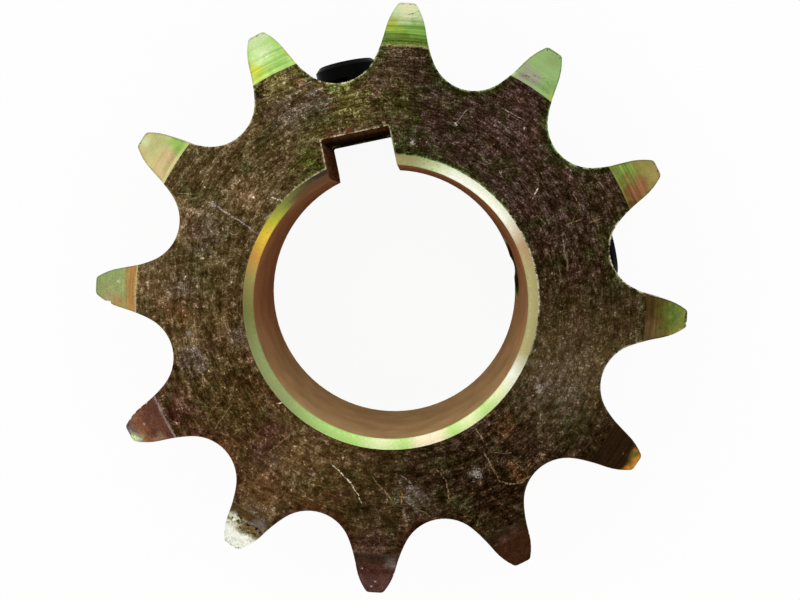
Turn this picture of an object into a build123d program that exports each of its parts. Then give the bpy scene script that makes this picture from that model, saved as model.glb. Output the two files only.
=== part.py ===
"""Twelve-tooth roller chain sprocket with a hub on one side, a keyed bore and two set screws.

Millimetres. The bore axis is Z. The part lies on the end face of its hub at Z = 0, with the toothed
plate on top. The keyway and one tooth gap are centred on +Y, and the second set screw points to +X.
"""

import os
from math import cos, hypot, radians, sin, sqrt, tan

from build123d import *

# Chain: one-inch pitch roller chain, size 80
pitch = 25.4
roller_diameter = 15.875
teeth = 12

# Toothed plate
tooth_width = 14.6
tip_corner_radius = 0.9
relief_length = 8.2
relief_depth = 3.3
relief_crown = 0.22

# Hub: a collar that takes the set screws, and between it and the plate a groove that lets the
# chain's link plates pass behind the teeth
length_through_bore = 38.1
hub_diameter = 75.4
hub_chamfer = 1.2
collar_height = 15.5
groove_depth = 3.4
groove_corner_radius = 1.0

# Bore and keyway
bore_diameter = 50.8
bore_chamfer = 1.75
keyway_width = 12.7
keyway_depth = 6.4
keyway_corner_radius = 0.4

# Cup-point socket set screws, half-inch thread, both alike
screw_diameter = 12.7
screw_length = 15.9
screw_end_chamfer = 0.9
screw_point_chamfer = 2.0
screw_cup_diameter = 6.8
screw_cup_depth = 1.6
screw_cup_taper = 45
socket_across_flats = 6.35
socket_depth = 6.0
thread_clearance = 0.05
keyway_screw_setback = 0.1
side_screw_setback = 4.35

# Clearance that the tooth form adds to the roller, and how far cutters run past the blank
seating_clearance = 0.038
overrun = 5.0

# Sizes that follow from the ones above
half_tooth_angle = radians(180 / teeth)
pitch_radius = pitch / 2 / sin(half_tooth_angle)
outside_radius = pitch * (0.6 + 1 / tan(half_tooth_angle)) / 2
plate_back = length_through_bore - tooth_width
plate_middle = plate_back + tooth_width / 2
hub_radius = hub_diameter / 2
groove_radius = hub_radius - groove_depth
bore_radius = bore_diameter / 2
keyway_ceiling = bore_radius + keyway_depth
screw_height = collar_height / 2
screw_hole_radius = screw_diameter / 2 + thread_clearance


def on_circle(centre: Vector, radius: float, angle: float) -> Vector:
    """Return the point of a circle at an angle, in radians from +X."""
    return centre + Vector(cos(angle), sin(angle)) * radius


def tooth_gap() -> Sketch:
    """Draw one gap of the standard tooth form, centred on +Y and open beyond the tips.

    From the middle outwards it has the roller seat, the working curve, a short straight
    and the topping curve, whose centre lies on the chord between two seated rollers.
    """
    seat_angle = radians(35 + 60 / teeth)
    working_angle = radians(18 - 56 / teeth)
    straight_angle = radians(17 - 64 / teeth)
    seat_radius = 0.5025 * roller_diameter + seating_clearance
    working_radius = 1.3025 * roller_diameter + seating_clearance
    topping_reach = 0.8 * cos(working_angle) + 1.4 * cos(straight_angle) - 1.3025
    topping_radius = topping_reach * roller_diameter - seating_clearance
    straight_length = roller_diameter * (1.4 * sin(straight_angle) - 0.8 * sin(working_angle))

    roller = Vector(0, pitch_radius)
    chord = Vector(cos(half_tooth_angle), -sin(half_tooth_angle))
    tooth_axis = Vector(sin(half_tooth_angle), cos(half_tooth_angle))
    working_centre = on_circle(roller, -0.8 * roller_diameter, -seat_angle)
    topping_centre = roller + chord * (1.4 * roller_diameter)
    point_height = sqrt(topping_radius**2 - (1.4 * roller_diameter - pitch / 2) ** 2)

    seat_bottom = roller - Vector(0, seat_radius)
    seat_middle = on_circle(roller, seat_radius, -(radians(90) + seat_angle) / 2)
    seat_end = on_circle(roller, seat_radius, -seat_angle)
    working_middle = on_circle(working_centre, working_radius, working_angle / 2 - seat_angle)
    working_end = on_circle(working_centre, working_radius, working_angle - seat_angle)
    along_flank = Vector(sin(seat_angle - working_angle), cos(seat_angle - working_angle))
    straight_end = working_end + along_flank * straight_length
    tooth_point = roller + chord * (pitch / 2) + tooth_axis * point_height
    halfway = (straight_end + tooth_point) * 0.5 - topping_centre
    topping_middle = topping_centre + halfway.normalized() * topping_radius
    beyond_point = tooth_axis * (tooth_point.length + overrun)

    with BuildSketch() as gap:
        with BuildLine():
            ThreePointArc(seat_bottom, seat_middle, seat_end)
            ThreePointArc(seat_end, working_middle, working_end)
            Line(working_end, straight_end)
            ThreePointArc(straight_end, topping_middle, tooth_point)
            Polyline(tooth_point, beyond_point, (0, beyond_point.Y))
            mirror(about=Plane.YZ)
        make_face()
    return gap.sketch


def set_screw(outward: Vector, point_radius: float) -> BuildPart:
    """Make one socket set screw that points at the bore axis.

    Args:
        outward: Unit vector from the bore axis along the screw to its socket.
        point_radius: Distance from the bore axis to the screw's point.
    """
    point_plane = Plane(origin=outward * point_radius + Vector(0, 0, screw_height), z_dir=outward)
    socket_plane = point_plane.offset(screw_length)
    with BuildPart() as screw:
        with BuildSketch(point_plane):
            Circle(screw_diameter / 2)
        extrude(amount=screw_length)
        ends = screw.edges().filter_by(GeomType.CIRCLE).sort_by_distance(point_plane.origin)
        chamfer(ends[-1], screw_end_chamfer)
        chamfer(ends[0], screw_point_chamfer)
        with BuildSketch(point_plane):
            Circle(screw_cup_diameter / 2)
        extrude(amount=screw_cup_depth, taper=screw_cup_taper, mode=Mode.SUBTRACT)
        with BuildSketch(socket_plane):
            RegularPolygon(socket_across_flats / 2, 6, major_radius=False)
        extrude(amount=-socket_depth, mode=Mode.SUBTRACT)
    return screw


with BuildPart() as sprocket:
    # Toothed plate, cut from a round blank
    with BuildSketch(Plane.XY.offset(plate_back)) as outline:
        Circle(outside_radius)
        with PolarLocations(0, teeth):
            add(tooth_gap(), mode=Mode.SUBTRACT)
        tip_corners = outline.vertices().filter_by(
            lambda corner: hypot(corner.X, corner.Y) > outside_radius - 0.01
        )
        fillet(tip_corners, tip_corner_radius)
    extrude(amount=tooth_width)

    # Side relief of the teeth, turned on both faces so that the chain finds its way on
    relief_start = Vector(outside_radius - relief_length, length_through_bore)
    relief_end = Vector(outside_radius, length_through_bore - relief_depth)
    with BuildSketch(Plane.XZ) as relief:
        with BuildLine():
            crown = (relief_start + relief_end) * 0.5 + Vector(0, relief_crown)
            ThreePointArc(relief_start, crown, relief_end)
            Polyline(
                relief_end,
                relief_end + Vector(overrun, 0),
                relief_start + Vector(relief_length + overrun, overrun),
                relief_start + Vector(0, overrun),
                relief_start,
            )
        make_face()
        mirror(about=Plane.XZ.offset(-plate_middle))
    revolve(axis=Axis.Z, mode=Mode.SUBTRACT)

    # Hub, grooved next to the plate
    with BuildSketch(Plane.XZ):
        with BuildLine():
            Polyline(
                (0, 0),
                (hub_radius, 0),
                (hub_radius, collar_height),
                (groove_radius, collar_height),
                (groove_radius, plate_back),
                (0, plate_back),
                close=True,
            )
        make_face()
    revolve(axis=Axis.Z)
    rims = sprocket.edges().filter_by(GeomType.CIRCLE)
    fillet(rims.filter_by(lambda rim: abs(rim.radius - groove_radius) < 0.01), groove_corner_radius)
    rims = sprocket.edges().filter_by(GeomType.CIRCLE)
    chamfer(rims.group_by(Axis.Z)[0], hub_chamfer)

    # Bore, chamfered at both ends
    with BuildSketch():
        Circle(bore_radius)
    extrude(amount=length_through_bore, mode=Mode.SUBTRACT)
    rims = sprocket.edges().filter_by(GeomType.CIRCLE)
    chamfer(rims.filter_by(lambda rim: abs(rim.radius - bore_radius) < 0.01), bore_chamfer)

    # Keyway, broached through the whole length at the middle of a tooth gap
    with BuildSketch() as slot:
        with Locations((0, keyway_ceiling / 2)):
            Rectangle(keyway_width, keyway_ceiling)
        fillet(slot.vertices().group_by(Axis.Y)[-1], keyway_corner_radius)
    extrude(amount=length_through_bore, mode=Mode.SUBTRACT)

    # Tapped holes for the set screws, one over the keyway and one a quarter turn round
    for outward in (Vector(0, 1, 0), Vector(1, 0, 0)):
        with BuildSketch(Plane(origin=(0, 0, screw_height), z_dir=outward)):
            Circle(screw_hole_radius)
        extrude(amount=hub_radius + overrun, mode=Mode.SUBTRACT)

keyway_set_screw = set_screw(Vector(0, 1, 0), keyway_ceiling + keyway_screw_setback)
side_set_screw = set_screw(Vector(1, 0, 0), bore_radius + side_screw_setback)

sprocket.part.label = "sprocket"
keyway_set_screw.part.label = "keyway_set_screw"
side_set_screw.part.label = "side_set_screw"

os.makedirs("parts", exist_ok=True)
export_step(sprocket.part, "parts/sprocket.step")
export_step(keyway_set_screw.part, "parts/keyway_set_screw.step")
export_step(side_set_screw.part, "parts/side_set_screw.step")
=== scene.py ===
"""Looks of a twelve-tooth roller chain sprocket with a hub, a keyed bore and two set screws.

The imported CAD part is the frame. The toothed wheel is a refined copy of its CAD node, with broken
edges, chips and a finish for each machined surface. The set screws get a real thread, a hexagon
socket and a cup point. Angles round the bore axis are in degrees clockwise from the keyway, as
seen from the toothed face, and sizes are in millimetres unless a name says otherwise.
"""

import logging
import math
from dataclasses import dataclass
from enum import Enum
from functools import partial, reduce
from typing import Callable, Sequence

import bmesh
import bpy
from mathutils import Matrix, Vector, noise


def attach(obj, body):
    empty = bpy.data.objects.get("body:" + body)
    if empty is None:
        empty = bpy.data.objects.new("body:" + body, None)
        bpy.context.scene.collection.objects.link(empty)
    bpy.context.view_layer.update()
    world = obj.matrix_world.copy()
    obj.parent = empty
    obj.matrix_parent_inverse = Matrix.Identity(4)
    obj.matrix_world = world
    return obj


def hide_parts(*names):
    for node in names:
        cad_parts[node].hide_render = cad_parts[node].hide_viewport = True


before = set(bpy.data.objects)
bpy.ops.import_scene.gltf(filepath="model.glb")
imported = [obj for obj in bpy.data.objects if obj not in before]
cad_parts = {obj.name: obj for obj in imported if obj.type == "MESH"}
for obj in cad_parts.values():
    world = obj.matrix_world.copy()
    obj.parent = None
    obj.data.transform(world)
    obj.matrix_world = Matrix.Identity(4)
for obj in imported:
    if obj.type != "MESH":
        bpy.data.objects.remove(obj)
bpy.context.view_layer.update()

MM = 0.001
BODY = "root"
RIM = "rim"
FULL_TURN = 360.0
TOOTH_ANGLE = 30.0
PITCH_RADIUS = 49.07
SEAT_RADIUS = 8.015
RELIEF_START = 46.82
ONSET = 0.06
TINY = 1e-6
LOG = logging.getLogger("sprocket")

Socket = bpy.types.NodeSocket
Point = tuple[float, float]
Range = tuple[float, float]


# ---- tints and surfaces


class Tint(Enum):
    """Shades of the chromate film and of the steel under it, and of painted shade and painted
    reflections, as display values from 0 to 255.
    """

    # Near black: real dark marks, and painted shade on the keyway's ceiling.
    SOOT = (20, 13, 6)
    UMBER = (48, 35, 19)
    PLUM = (58, 41, 31)
    BARK = (74, 55, 28)
    DRAB = (84, 68, 40)
    FOREST = (42, 44, 16)
    MAUVE = (70, 48, 35)
    MOSS = (58, 64, 16)
    FERN = (84, 108, 40)
    SMOKE = (94, 80, 66)
    MAROON = (60, 33, 22)
    WINE = (98, 62, 48)
    RUST = (124, 66, 40)
    CHESTNUT = (98, 66, 38)
    COCOA = (126, 99, 66)
    BRONZE = (122, 126, 60)
    STRAW = (150, 140, 74)
    COPPER = (146, 98, 66)
    FAWN = (188, 154, 108)
    OCHRE = (190, 140, 56)
    GOLD = (222, 188, 52)
    CITRON = (172, 178, 50)
    GRASS = (122, 160, 72)
    LICHEN = (198, 214, 164)
    JADE = (152, 184, 116)
    OLIVE = (88, 84, 34)
    AMBER = (204, 142, 46)
    BISTRE = (38, 24, 11)
    LIVER = (58, 32, 17)
    GARNET = (70, 40, 32)
    PUCE = (84, 56, 48)
    DOVE = (112, 98, 92)
    ASHEN = (164, 154, 144)
    CLAY = (170, 124, 74)
    BUFF = (190, 178, 120)
    TAN = (182, 150, 112)
    ROSE = (204, 186, 178)
    SAND = (176, 168, 114)
    SAGE = (142, 156, 98)
    LEAF = (162, 198, 112)
    APPLE = (176, 216, 120)
    MINT = (224, 234, 176)
    CREAM = (240, 226, 190)
    PEARL = (242, 246, 226)

    def linear(self) -> tuple[float, float, float, float]:
        """Return the tint as a scene-linear colour with alpha."""
        return (*(srgb_to_linear(v / 255) for v in self.value), 1.0)


class Zone(Enum):
    """Machined surfaces of the toothed wheel, in the order of its material slots."""

    FACE = 0
    RELIEF = 1
    MOUTH = 2
    BORE = 3
    KEYWAY = 4
    FLANK = 5
    BACK = 6
    HUB = 7
    EDGE = 8
    CHIP = 9


Stops = tuple[tuple[float, Tint], ...]
Shares = tuple[tuple[float, float], ...]
Row = tuple[float | Tint, ...]


def srgb_to_linear(value: float) -> float:
    """Return the scene-linear value of a display value from 0 to 1."""
    return value / 12.92 if value <= 0.04045 else ((value + 0.055) / 1.055) ** 2.4


# ---- marks


@dataclass(frozen=True)
class Scratch:
    """One scratch, from point to point, seen along the bore axis."""

    start: Point
    end: Point
    width: float
    tint: Tint
    strength: float


@dataclass(frozen=True)
class Smudge:
    """One cloudy patch, seen along the bore axis."""

    centre: Point
    reach: float
    tint: Tint
    strength: float


@dataclass(frozen=True)
class Cloud:
    """Noise in a film: cells per millimetre, octaves and roughness."""

    scale: float
    detail: float
    rough: float = 0.5


@dataclass(frozen=True)
class Spots:
    """Spots where a cloud passes a level: the level where they start, and where they are full."""

    cloud: Cloud
    start: float
    full: float


@dataclass(frozen=True)
class Rings:
    """Rings of a turned face: lines per millimetre of radius, changes in one turn, octaves."""

    per_mm: float
    streak: float
    detail: float = 2.0


@dataclass(frozen=True)
class Curls:
    """Thin curved scuffs, along the line where a path passes its middle level.

    Their width is a step of the path. They show only where a sparse noise is above a level.
    """

    path: Cloud
    width: float
    core: float
    sparse: Spots


def curls(scale: float, width: float, rare: float) -> Curls:
    """Return scuffs of one size.

    Args:
        scale: Curls per millimetre.
        width: Half the width of a scuff.
        rare: Level above which a scuff shows.

    Returns:
        The scuffs.
    """
    sparse = Spots(Cloud(scale * 1.7, 2.0), rare, rare + ONSET)
    return Curls(Cloud(scale, 3.0, 0.55), width, width * 0.3, sparse)


GRAIN = Cloud(3.0, 2.0, 0.8)
PATCHES = Cloud(0.7, 4.0, 0.65)


def on_face(x: float, y: float) -> Point:
    """Return a place on the toothed face."""
    return x, y


def on_tooth(tooth: float, radius: float, across: float) -> Point:
    """Return a place on a tooth.

    Args:
        tooth: Angle of the tooth.
        radius: Distance from the bore axis along the tooth's middle.
        across: Offset from the middle, clockwise.

    Returns:
        The place.
    """
    angle = math.radians(tooth)
    x = radius * math.sin(angle) + across * math.cos(angle)
    return x, radius * math.cos(angle) - across * math.sin(angle)


def scratches(rows: Sequence[Row], place: Callable[[float, float], Point]) -> list[Scratch]:
    """Return scratches from rows of a place at each end, width, tint and strength."""
    return [Scratch(place(*row[:2]), place(*row[2:4]), *row[4:]) for row in rows]


def smudges(rows: Sequence[Row], place: Callable[[float, float], Point]) -> list[Smudge]:
    """Return patches from rows of a place, reach, tint and strength."""
    return [Smudge(place(*row[:2]), *row[2:]) for row in rows]


# ---- node bench


class Nodes:
    """Adds nodes to a node tree and feeds their inputs."""

    def __init__(self, tree: bpy.types.NodeTree) -> None:
        """Empty a node tree.

        Args:
            tree: The tree.
        """
        self.tree = tree
        self.tree.nodes.clear()

    def node(
        self, kind: str, feeds: dict[str | int, object] | None = None, **settings: object
    ) -> bpy.types.Node:
        """Add a node.

        Args:
            kind: Type of the node.
            feeds: Sockets, tints or plain values for its inputs, by name or by place.
            settings: Values of its properties.

        Returns:
            The node.
        """
        made = self.tree.nodes.new(kind)
        for key, value in settings.items():
            setattr(made, key, value)
        for key, value in (feeds or {}).items():
            if isinstance(value, Socket):
                self.tree.links.new(value, made.inputs[key])
            else:
                plain = value.linear() if isinstance(value, Tint) else value
                made.inputs[key].default_value = plain
        return made

    def math(self, operation: str, *values: object, clamp: bool = False) -> Socket:
        """Return the result of a Math node."""
        feeds = dict(enumerate(values))
        return self.node("ShaderNodeMath", feeds, operation=operation, use_clamp=clamp).outputs[0]


class NodeBench(Nodes):
    """Lays out the nodes of one material, in millimetres and round the bore axis."""

    TINTED_DOUBLINGS = 1.7
    BARE_RATE = 0.9
    TINT_RATES = (0.9, 1.05, 1.4)
    BROKEN = Spots(Cloud(2.6, 3.0, 0.7), 0.4, 0.62)
    WANDER = Cloud(0.6, 2.0)
    STRAY = 0.9
    LINE_EDGE = (1.4, 0.5)
    LINE_ENDS = (0.2, 0.75)
    SMUDGE_EDGE = (1.4, 0.2)

    def __init__(self, name: str) -> None:
        """Start an empty material.

        Args:
            name: Name of the material.
        """
        self.material = bpy.data.materials.new(name)
        self.material.use_nodes = True
        super().__init__(self.material.node_tree)
        place = self.node("ShaderNodeTexCoord").outputs["Object"]
        feeds = {"Vector": place, "Scale": (1 / MM,) * 3}
        self.point = self.node("ShaderNodeMapping", feeds).outputs["Vector"]
        self.x, self.y, self.z = self.node("ShaderNodeSeparateXYZ", {0: self.point}).outputs
        self.flat = self.combine(self.x, self.y, 0.0)
        self.radius = self.measure("LENGTH", self.flat)
        self.outward = self.vector("NORMALIZE", self.flat)

    def times(self, value: object, *factors: object) -> Socket:
        """Return the product of a value and its factors."""
        return reduce(partial(self.math, "MULTIPLY"), factors, value)

    def sloped(self, value: object, slope: object, start: object) -> Socket:
        """Return a value times a slope, plus a start."""
        return self.math("MULTIPLY_ADD", value, slope, start)

    def vector(self, operation: str, *values: object) -> Socket:
        """Return the result of a Vector Math node that gives a vector."""
        made = self.node("ShaderNodeVectorMath", dict(enumerate(values)), operation=operation)
        return made.outputs["Vector"]

    def measure(self, operation: str, *values: object) -> Socket:
        """Return the result of a Vector Math node that gives a value."""
        made = self.node("ShaderNodeVectorMath", dict(enumerate(values)), operation=operation)
        return made.outputs["Value"]

    def combine(self, *parts: object) -> Socket:
        """Return a vector of three values."""
        return self.node("ShaderNodeCombineXYZ", dict(enumerate(parts))).outputs[0]

    def span(self, value: object, low: float, high: float) -> Socket:
        """Return a smooth step of a value, 0 at low and 1 at high. Low may be the larger."""
        feeds = {"Value": value, "From Min": low, "From Max": high}
        return self.node("ShaderNodeMapRange", feeds, interpolation_type="SMOOTHSTEP").outputs[0]

    def noise(self, cloud: Cloud, where: Socket | None = None) -> Socket:
        """Return a noise from 0 to 1, at the surface's own points if no others are given.

        Args:
            cloud: The noise.
            where: Points at which it is read.

        Returns:
            The noise.
        """
        feeds = {"Vector": where or self.point, "Scale": cloud.scale}
        feeds |= {"Detail": cloud.detail, "Roughness": cloud.rough}
        return self.node("ShaderNodeTexNoise", feeds).outputs[0]

    def spots(self, spots: Spots, where: Socket | None = None) -> Socket:
        """Return spots, 1 where they are full and 0 between them."""
        return self.span(self.noise(spots.cloud, where), spots.start, spots.full)

    def mix(self, factor: object, a: object, b: object, blend: str = "MIX") -> Socket:
        """Return the mix of two colours."""
        feeds = {0: factor, 6: a, 7: b}
        return self.node("ShaderNodeMix", feeds, data_type="RGBA", blend_type=blend).outputs[2]

    def scaled(self, colour: object, factor: object) -> Socket:
        """Return a colour times a value."""
        return self.mix(1.0, colour, self.combine(factor, factor, factor), "MULTIPLY")

    def ramp(self, factor: Socket, stops: Sequence[tuple[float, Tint]], steps: str) -> Socket:
        """Return a colour from a ramp of tints.

        Args:
            factor: Place on the ramp, from 0 to 1.
            stops: Places of the tints, as shares of a full turn, and the tints.
            steps: How the ramp goes from one tint to the next.

        Returns:
            The colour.
        """
        made = self.node("ShaderNodeValToRGB", {0: factor})
        made.color_ramp.interpolation = steps
        elements = made.color_ramp.elements
        elements[0].position, elements[1].position = stops[0][0], stops[1][0]
        for place, _ in stops[2:]:
            elements.new(place)
        for element, (_, tint) in zip(elements, stops):
            element.color = tint.linear()
        return made.outputs[0]

    def turn(self) -> Socket:
        """Return the angle clockwise from the keyway, as a share of a full turn."""
        angle = self.math("ARCTAN2", self.x, self.y)
        return self.math("FRACT", self.sloped(angle, 0.5 / math.pi, 1.0))

    def around(self, stops: Stops) -> Socket:
        """Return a colour that changes round the bore axis, from stops in degrees."""
        closed = [*((place / FULL_TURN, tint) for place, tint in stops), (1.0, stops[0][1])]
        return self.ramp(self.turn(), closed, "LINEAR")

    def by_tooth(self, tints: Sequence[Tint]) -> Socket:
        """Return a colour for each tooth, in order from the one after the keyway."""
        stops = [(place / len(tints), tint) for place, tint in enumerate(tints)]
        return self.ramp(self.turn(), stops, "CONSTANT")

    def share_around(self, stops: Sequence[tuple[float, float]]) -> Socket:
        """Return a value that changes round the bore axis.

        Args:
            stops: Places in degrees, the first at 0, and the values there.

        Returns:
            The value.
        """
        most = max(value for _, value in stops)
        made = self.node("ShaderNodeFloatCurve", {"Value": self.turn()})
        points = made.mapping.curves[0].points
        closed = [(place / FULL_TURN, value / most) for place, value in stops]
        closed.append((1.0, closed[0][1]))
        for place in closed[2:]:
            points.new(*place)
        for point, place in zip(points, closed):
            point.location = place
        made.mapping.update()
        return self.times(made.outputs[0], most)

    def from_gap(self) -> Socket:
        """Measure the distance to the roller seat of the nearest tooth gap.

        Returns:
            The distance in millimetres.
        """
        degrees = self.times(self.turn(), FULL_TURN)
        folded = self.math("RADIANS", self.math("PINGPONG", degrees, TOOTH_ANGLE / 2))
        across = self.times(self.radius, self.math("SINE", folded))
        along = self.times(self.radius, self.math("COSINE", folded))
        away = self.measure("DISTANCE", self.combine(across, along, 0.0), (0.0, PITCH_RADIUS, 0.0))
        return self.math("SUBTRACT", away, SEAT_RADIUS)

    def rings(self, rings: Rings) -> Socket:
        """Return the pattern of a turned face: fine rings, broken along their length.

        Args:
            rings: The rings.

        Returns:
            The pattern, from 0 to 1.
        """
        share = self.vector("MULTIPLY", self.outward, (rings.streak, rings.streak, 0.0))
        radial = self.combine(0.0, 0.0, self.times(self.radius, rings.per_mm))
        return self.noise(Cloud(1.0, rings.detail), self.vector("ADD", share, radial))

    def summed(self, *parts: tuple[Socket, float]) -> Socket:
        """Return the sum of noises round 0.

        Args:
            parts: The noises, each with its weight.

        Returns:
            The sum.
        """
        total = -sum(weight for _, weight in parts) / 2
        for cloud, weight in parts:
            total = self.sloped(cloud, weight, total)
        return total

    def worn(self, colour: Socket, doublings: Socket) -> Socket:
        """Return a film's colour where it is thinner or thicker.

        A thin film is lighter and greyer, and a thick one is darker and browner.

        Args:
            colour: The film's usual colour.
            doublings: How much lighter, as a power of two.

        Returns:
            The colour.
        """
        tinted = self.math("MINIMUM", doublings, self.TINTED_DOUBLINGS)
        bare = self.times(self.math("SUBTRACT", doublings, tinted), self.BARE_RATE)
        powers = (self.sloped(tinted, rate, bare) for rate in self.TINT_RATES)
        shares = (self.math("POWER", 2.0, power) for power in powers)
        return self.mix(1.0, colour, self.combine(*shares), "MULTIPLY")

    def curled(self, scuffs: Curls) -> Socket:
        """Return thin curved scuffs, 1 on a scuff and 0 beside it."""
        off = self.math("ABSOLUTE", self.math("SUBTRACT", self.noise(scuffs.path), 0.5))
        return self.times(self.span(off, scuffs.width, scuffs.core), self.spots(scuffs.sparse))

    def hairlines(self, angle: float, length: float, width: float, rare: float) -> Socket:
        """Return fine straight scratches of one direction.

        Args:
            angle: Direction in degrees.
            length: Typical length.
            width: Typical width.
            rare: Noise level above which a scratch shows.

        Returns:
            1 on a scratch and 0 beside it.
        """
        turn = (0.0, 0.0, math.radians(angle))
        feeds = {"Vector": self.point, "Rotation": turn, "Scale": (length, width, 1.0)}
        turned = self.node("ShaderNodeMapping", feeds, vector_type="TEXTURE").outputs[0]
        return self.spots(Spots(Cloud(1.0, 1.0), rare, rare + ONSET), turned)

    def scratch(self, mark: Scratch, wander: Socket) -> Socket:
        """Return one scratch.

        Args:
            mark: The scratch.
            wander: How far its line strays to one side.

        Returns:
            1 along its line, fading at both ends.
        """
        a, b = Vector((*mark.start, 0.0)), Vector((*mark.end, 0.0))
        along, length = (b - a).normalized(), (b - a).length
        from_start = self.vector("SUBTRACT", self.flat, tuple(a))
        reach = self.measure("DOT_PRODUCT", from_start, tuple(along))
        across = self.measure("DOT_PRODUCT", from_start, (-along.y, along.x, 0.0))
        off_line = self.math("ABSOLUTE", self.math("ADD", across, wander))
        full, fading = (length * share for share in self.LINE_ENDS)
        ends = self.times(self.span(reach, 0.0, full), self.span(reach, length, fading))
        outer, inner = (mark.width * share for share in self.LINE_EDGE)
        return self.times(self.span(off_line, outer, inner), ends)

    def scratched(self, colour: Socket, marks: Sequence[Scratch]) -> Socket:
        """Return a colour with broken scratches on it.

        Args:
            colour: Colour under the scratches.
            marks: The scratches.

        Returns:
            The colour.
        """
        wander = self.sloped(self.noise(self.WANDER, self.flat), self.STRAY, -self.STRAY / 2)
        broken = self.spots(self.BROKEN, self.flat)
        for mark in marks:
            line = self.times(self.scratch(mark, wander), broken, mark.strength)
            colour = self.mix(line, colour, mark.tint)
        return colour

    def smudged(
        self, colour: Socket, marks: Sequence[Smudge], cloud: Socket, ragged: float
    ) -> Socket:
        """Return a colour with cloudy patches on it.

        Args:
            colour: Colour under the patches.
            marks: The patches.
            cloud: Noise from 0 to 1 that makes their outlines uneven.
            ragged: How uneven the outlines are, in reaches.

        Returns:
            The colour.
        """
        outer, inner = (share + ragged / 2 for share in self.SMUDGE_EDGE)
        for mark in marks:
            away = self.measure("DISTANCE", self.flat, (*mark.centre, 0.0))
            away = self.sloped(cloud, mark.reach * ragged, away)
            patch = self.span(away, mark.reach * outer, mark.reach * inner)
            colour = self.mix(self.times(patch, mark.strength), colour, mark.tint)
        return colour

    def rim(self) -> Socket:
        """Return 1 along the border of the surface and 0 inside it."""
        return self.node("ShaderNodeAttribute", attribute_name=RIM).outputs["Fac"]

    def bump(self, height: Socket, depth: float) -> Socket:
        """Return a normal for a height from 0 to 1 that stands for a depth."""
        feeds = {"Strength": 1.0, "Distance": depth * MM, "Height": height}
        return self.node("ShaderNodeBump", feeds).outputs[0]

    def shade(
        self,
        colour: object,
        rough: object,
        normal: Socket | None = None,
        metal: float = 1.0,
        grazing: float = 0.5,
    ) -> bpy.types.Material:
        """Finish the material with one Principled shader.

        Args:
            colour: Base colour.
            rough: Roughness.
            normal: Normal from a bump, if the surface has one.
            metal: Metallic share.
            grazing: How strongly the surface mirrors light that only grazes it.

        Returns:
            The finished material.
        """
        feeds = {"Base Color": colour, "Roughness": rough, "Metallic": metal}
        feeds["Specular IOR Level"] = grazing
        if normal is not None:
            feeds["Normal"] = normal
        shader = self.node("ShaderNodeBsdfPrincipled", feeds).outputs[0]
        self.node("ShaderNodeOutputMaterial", {"Surface": shader})
        return self.material


# ---- marks on the face and the teeth


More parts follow.
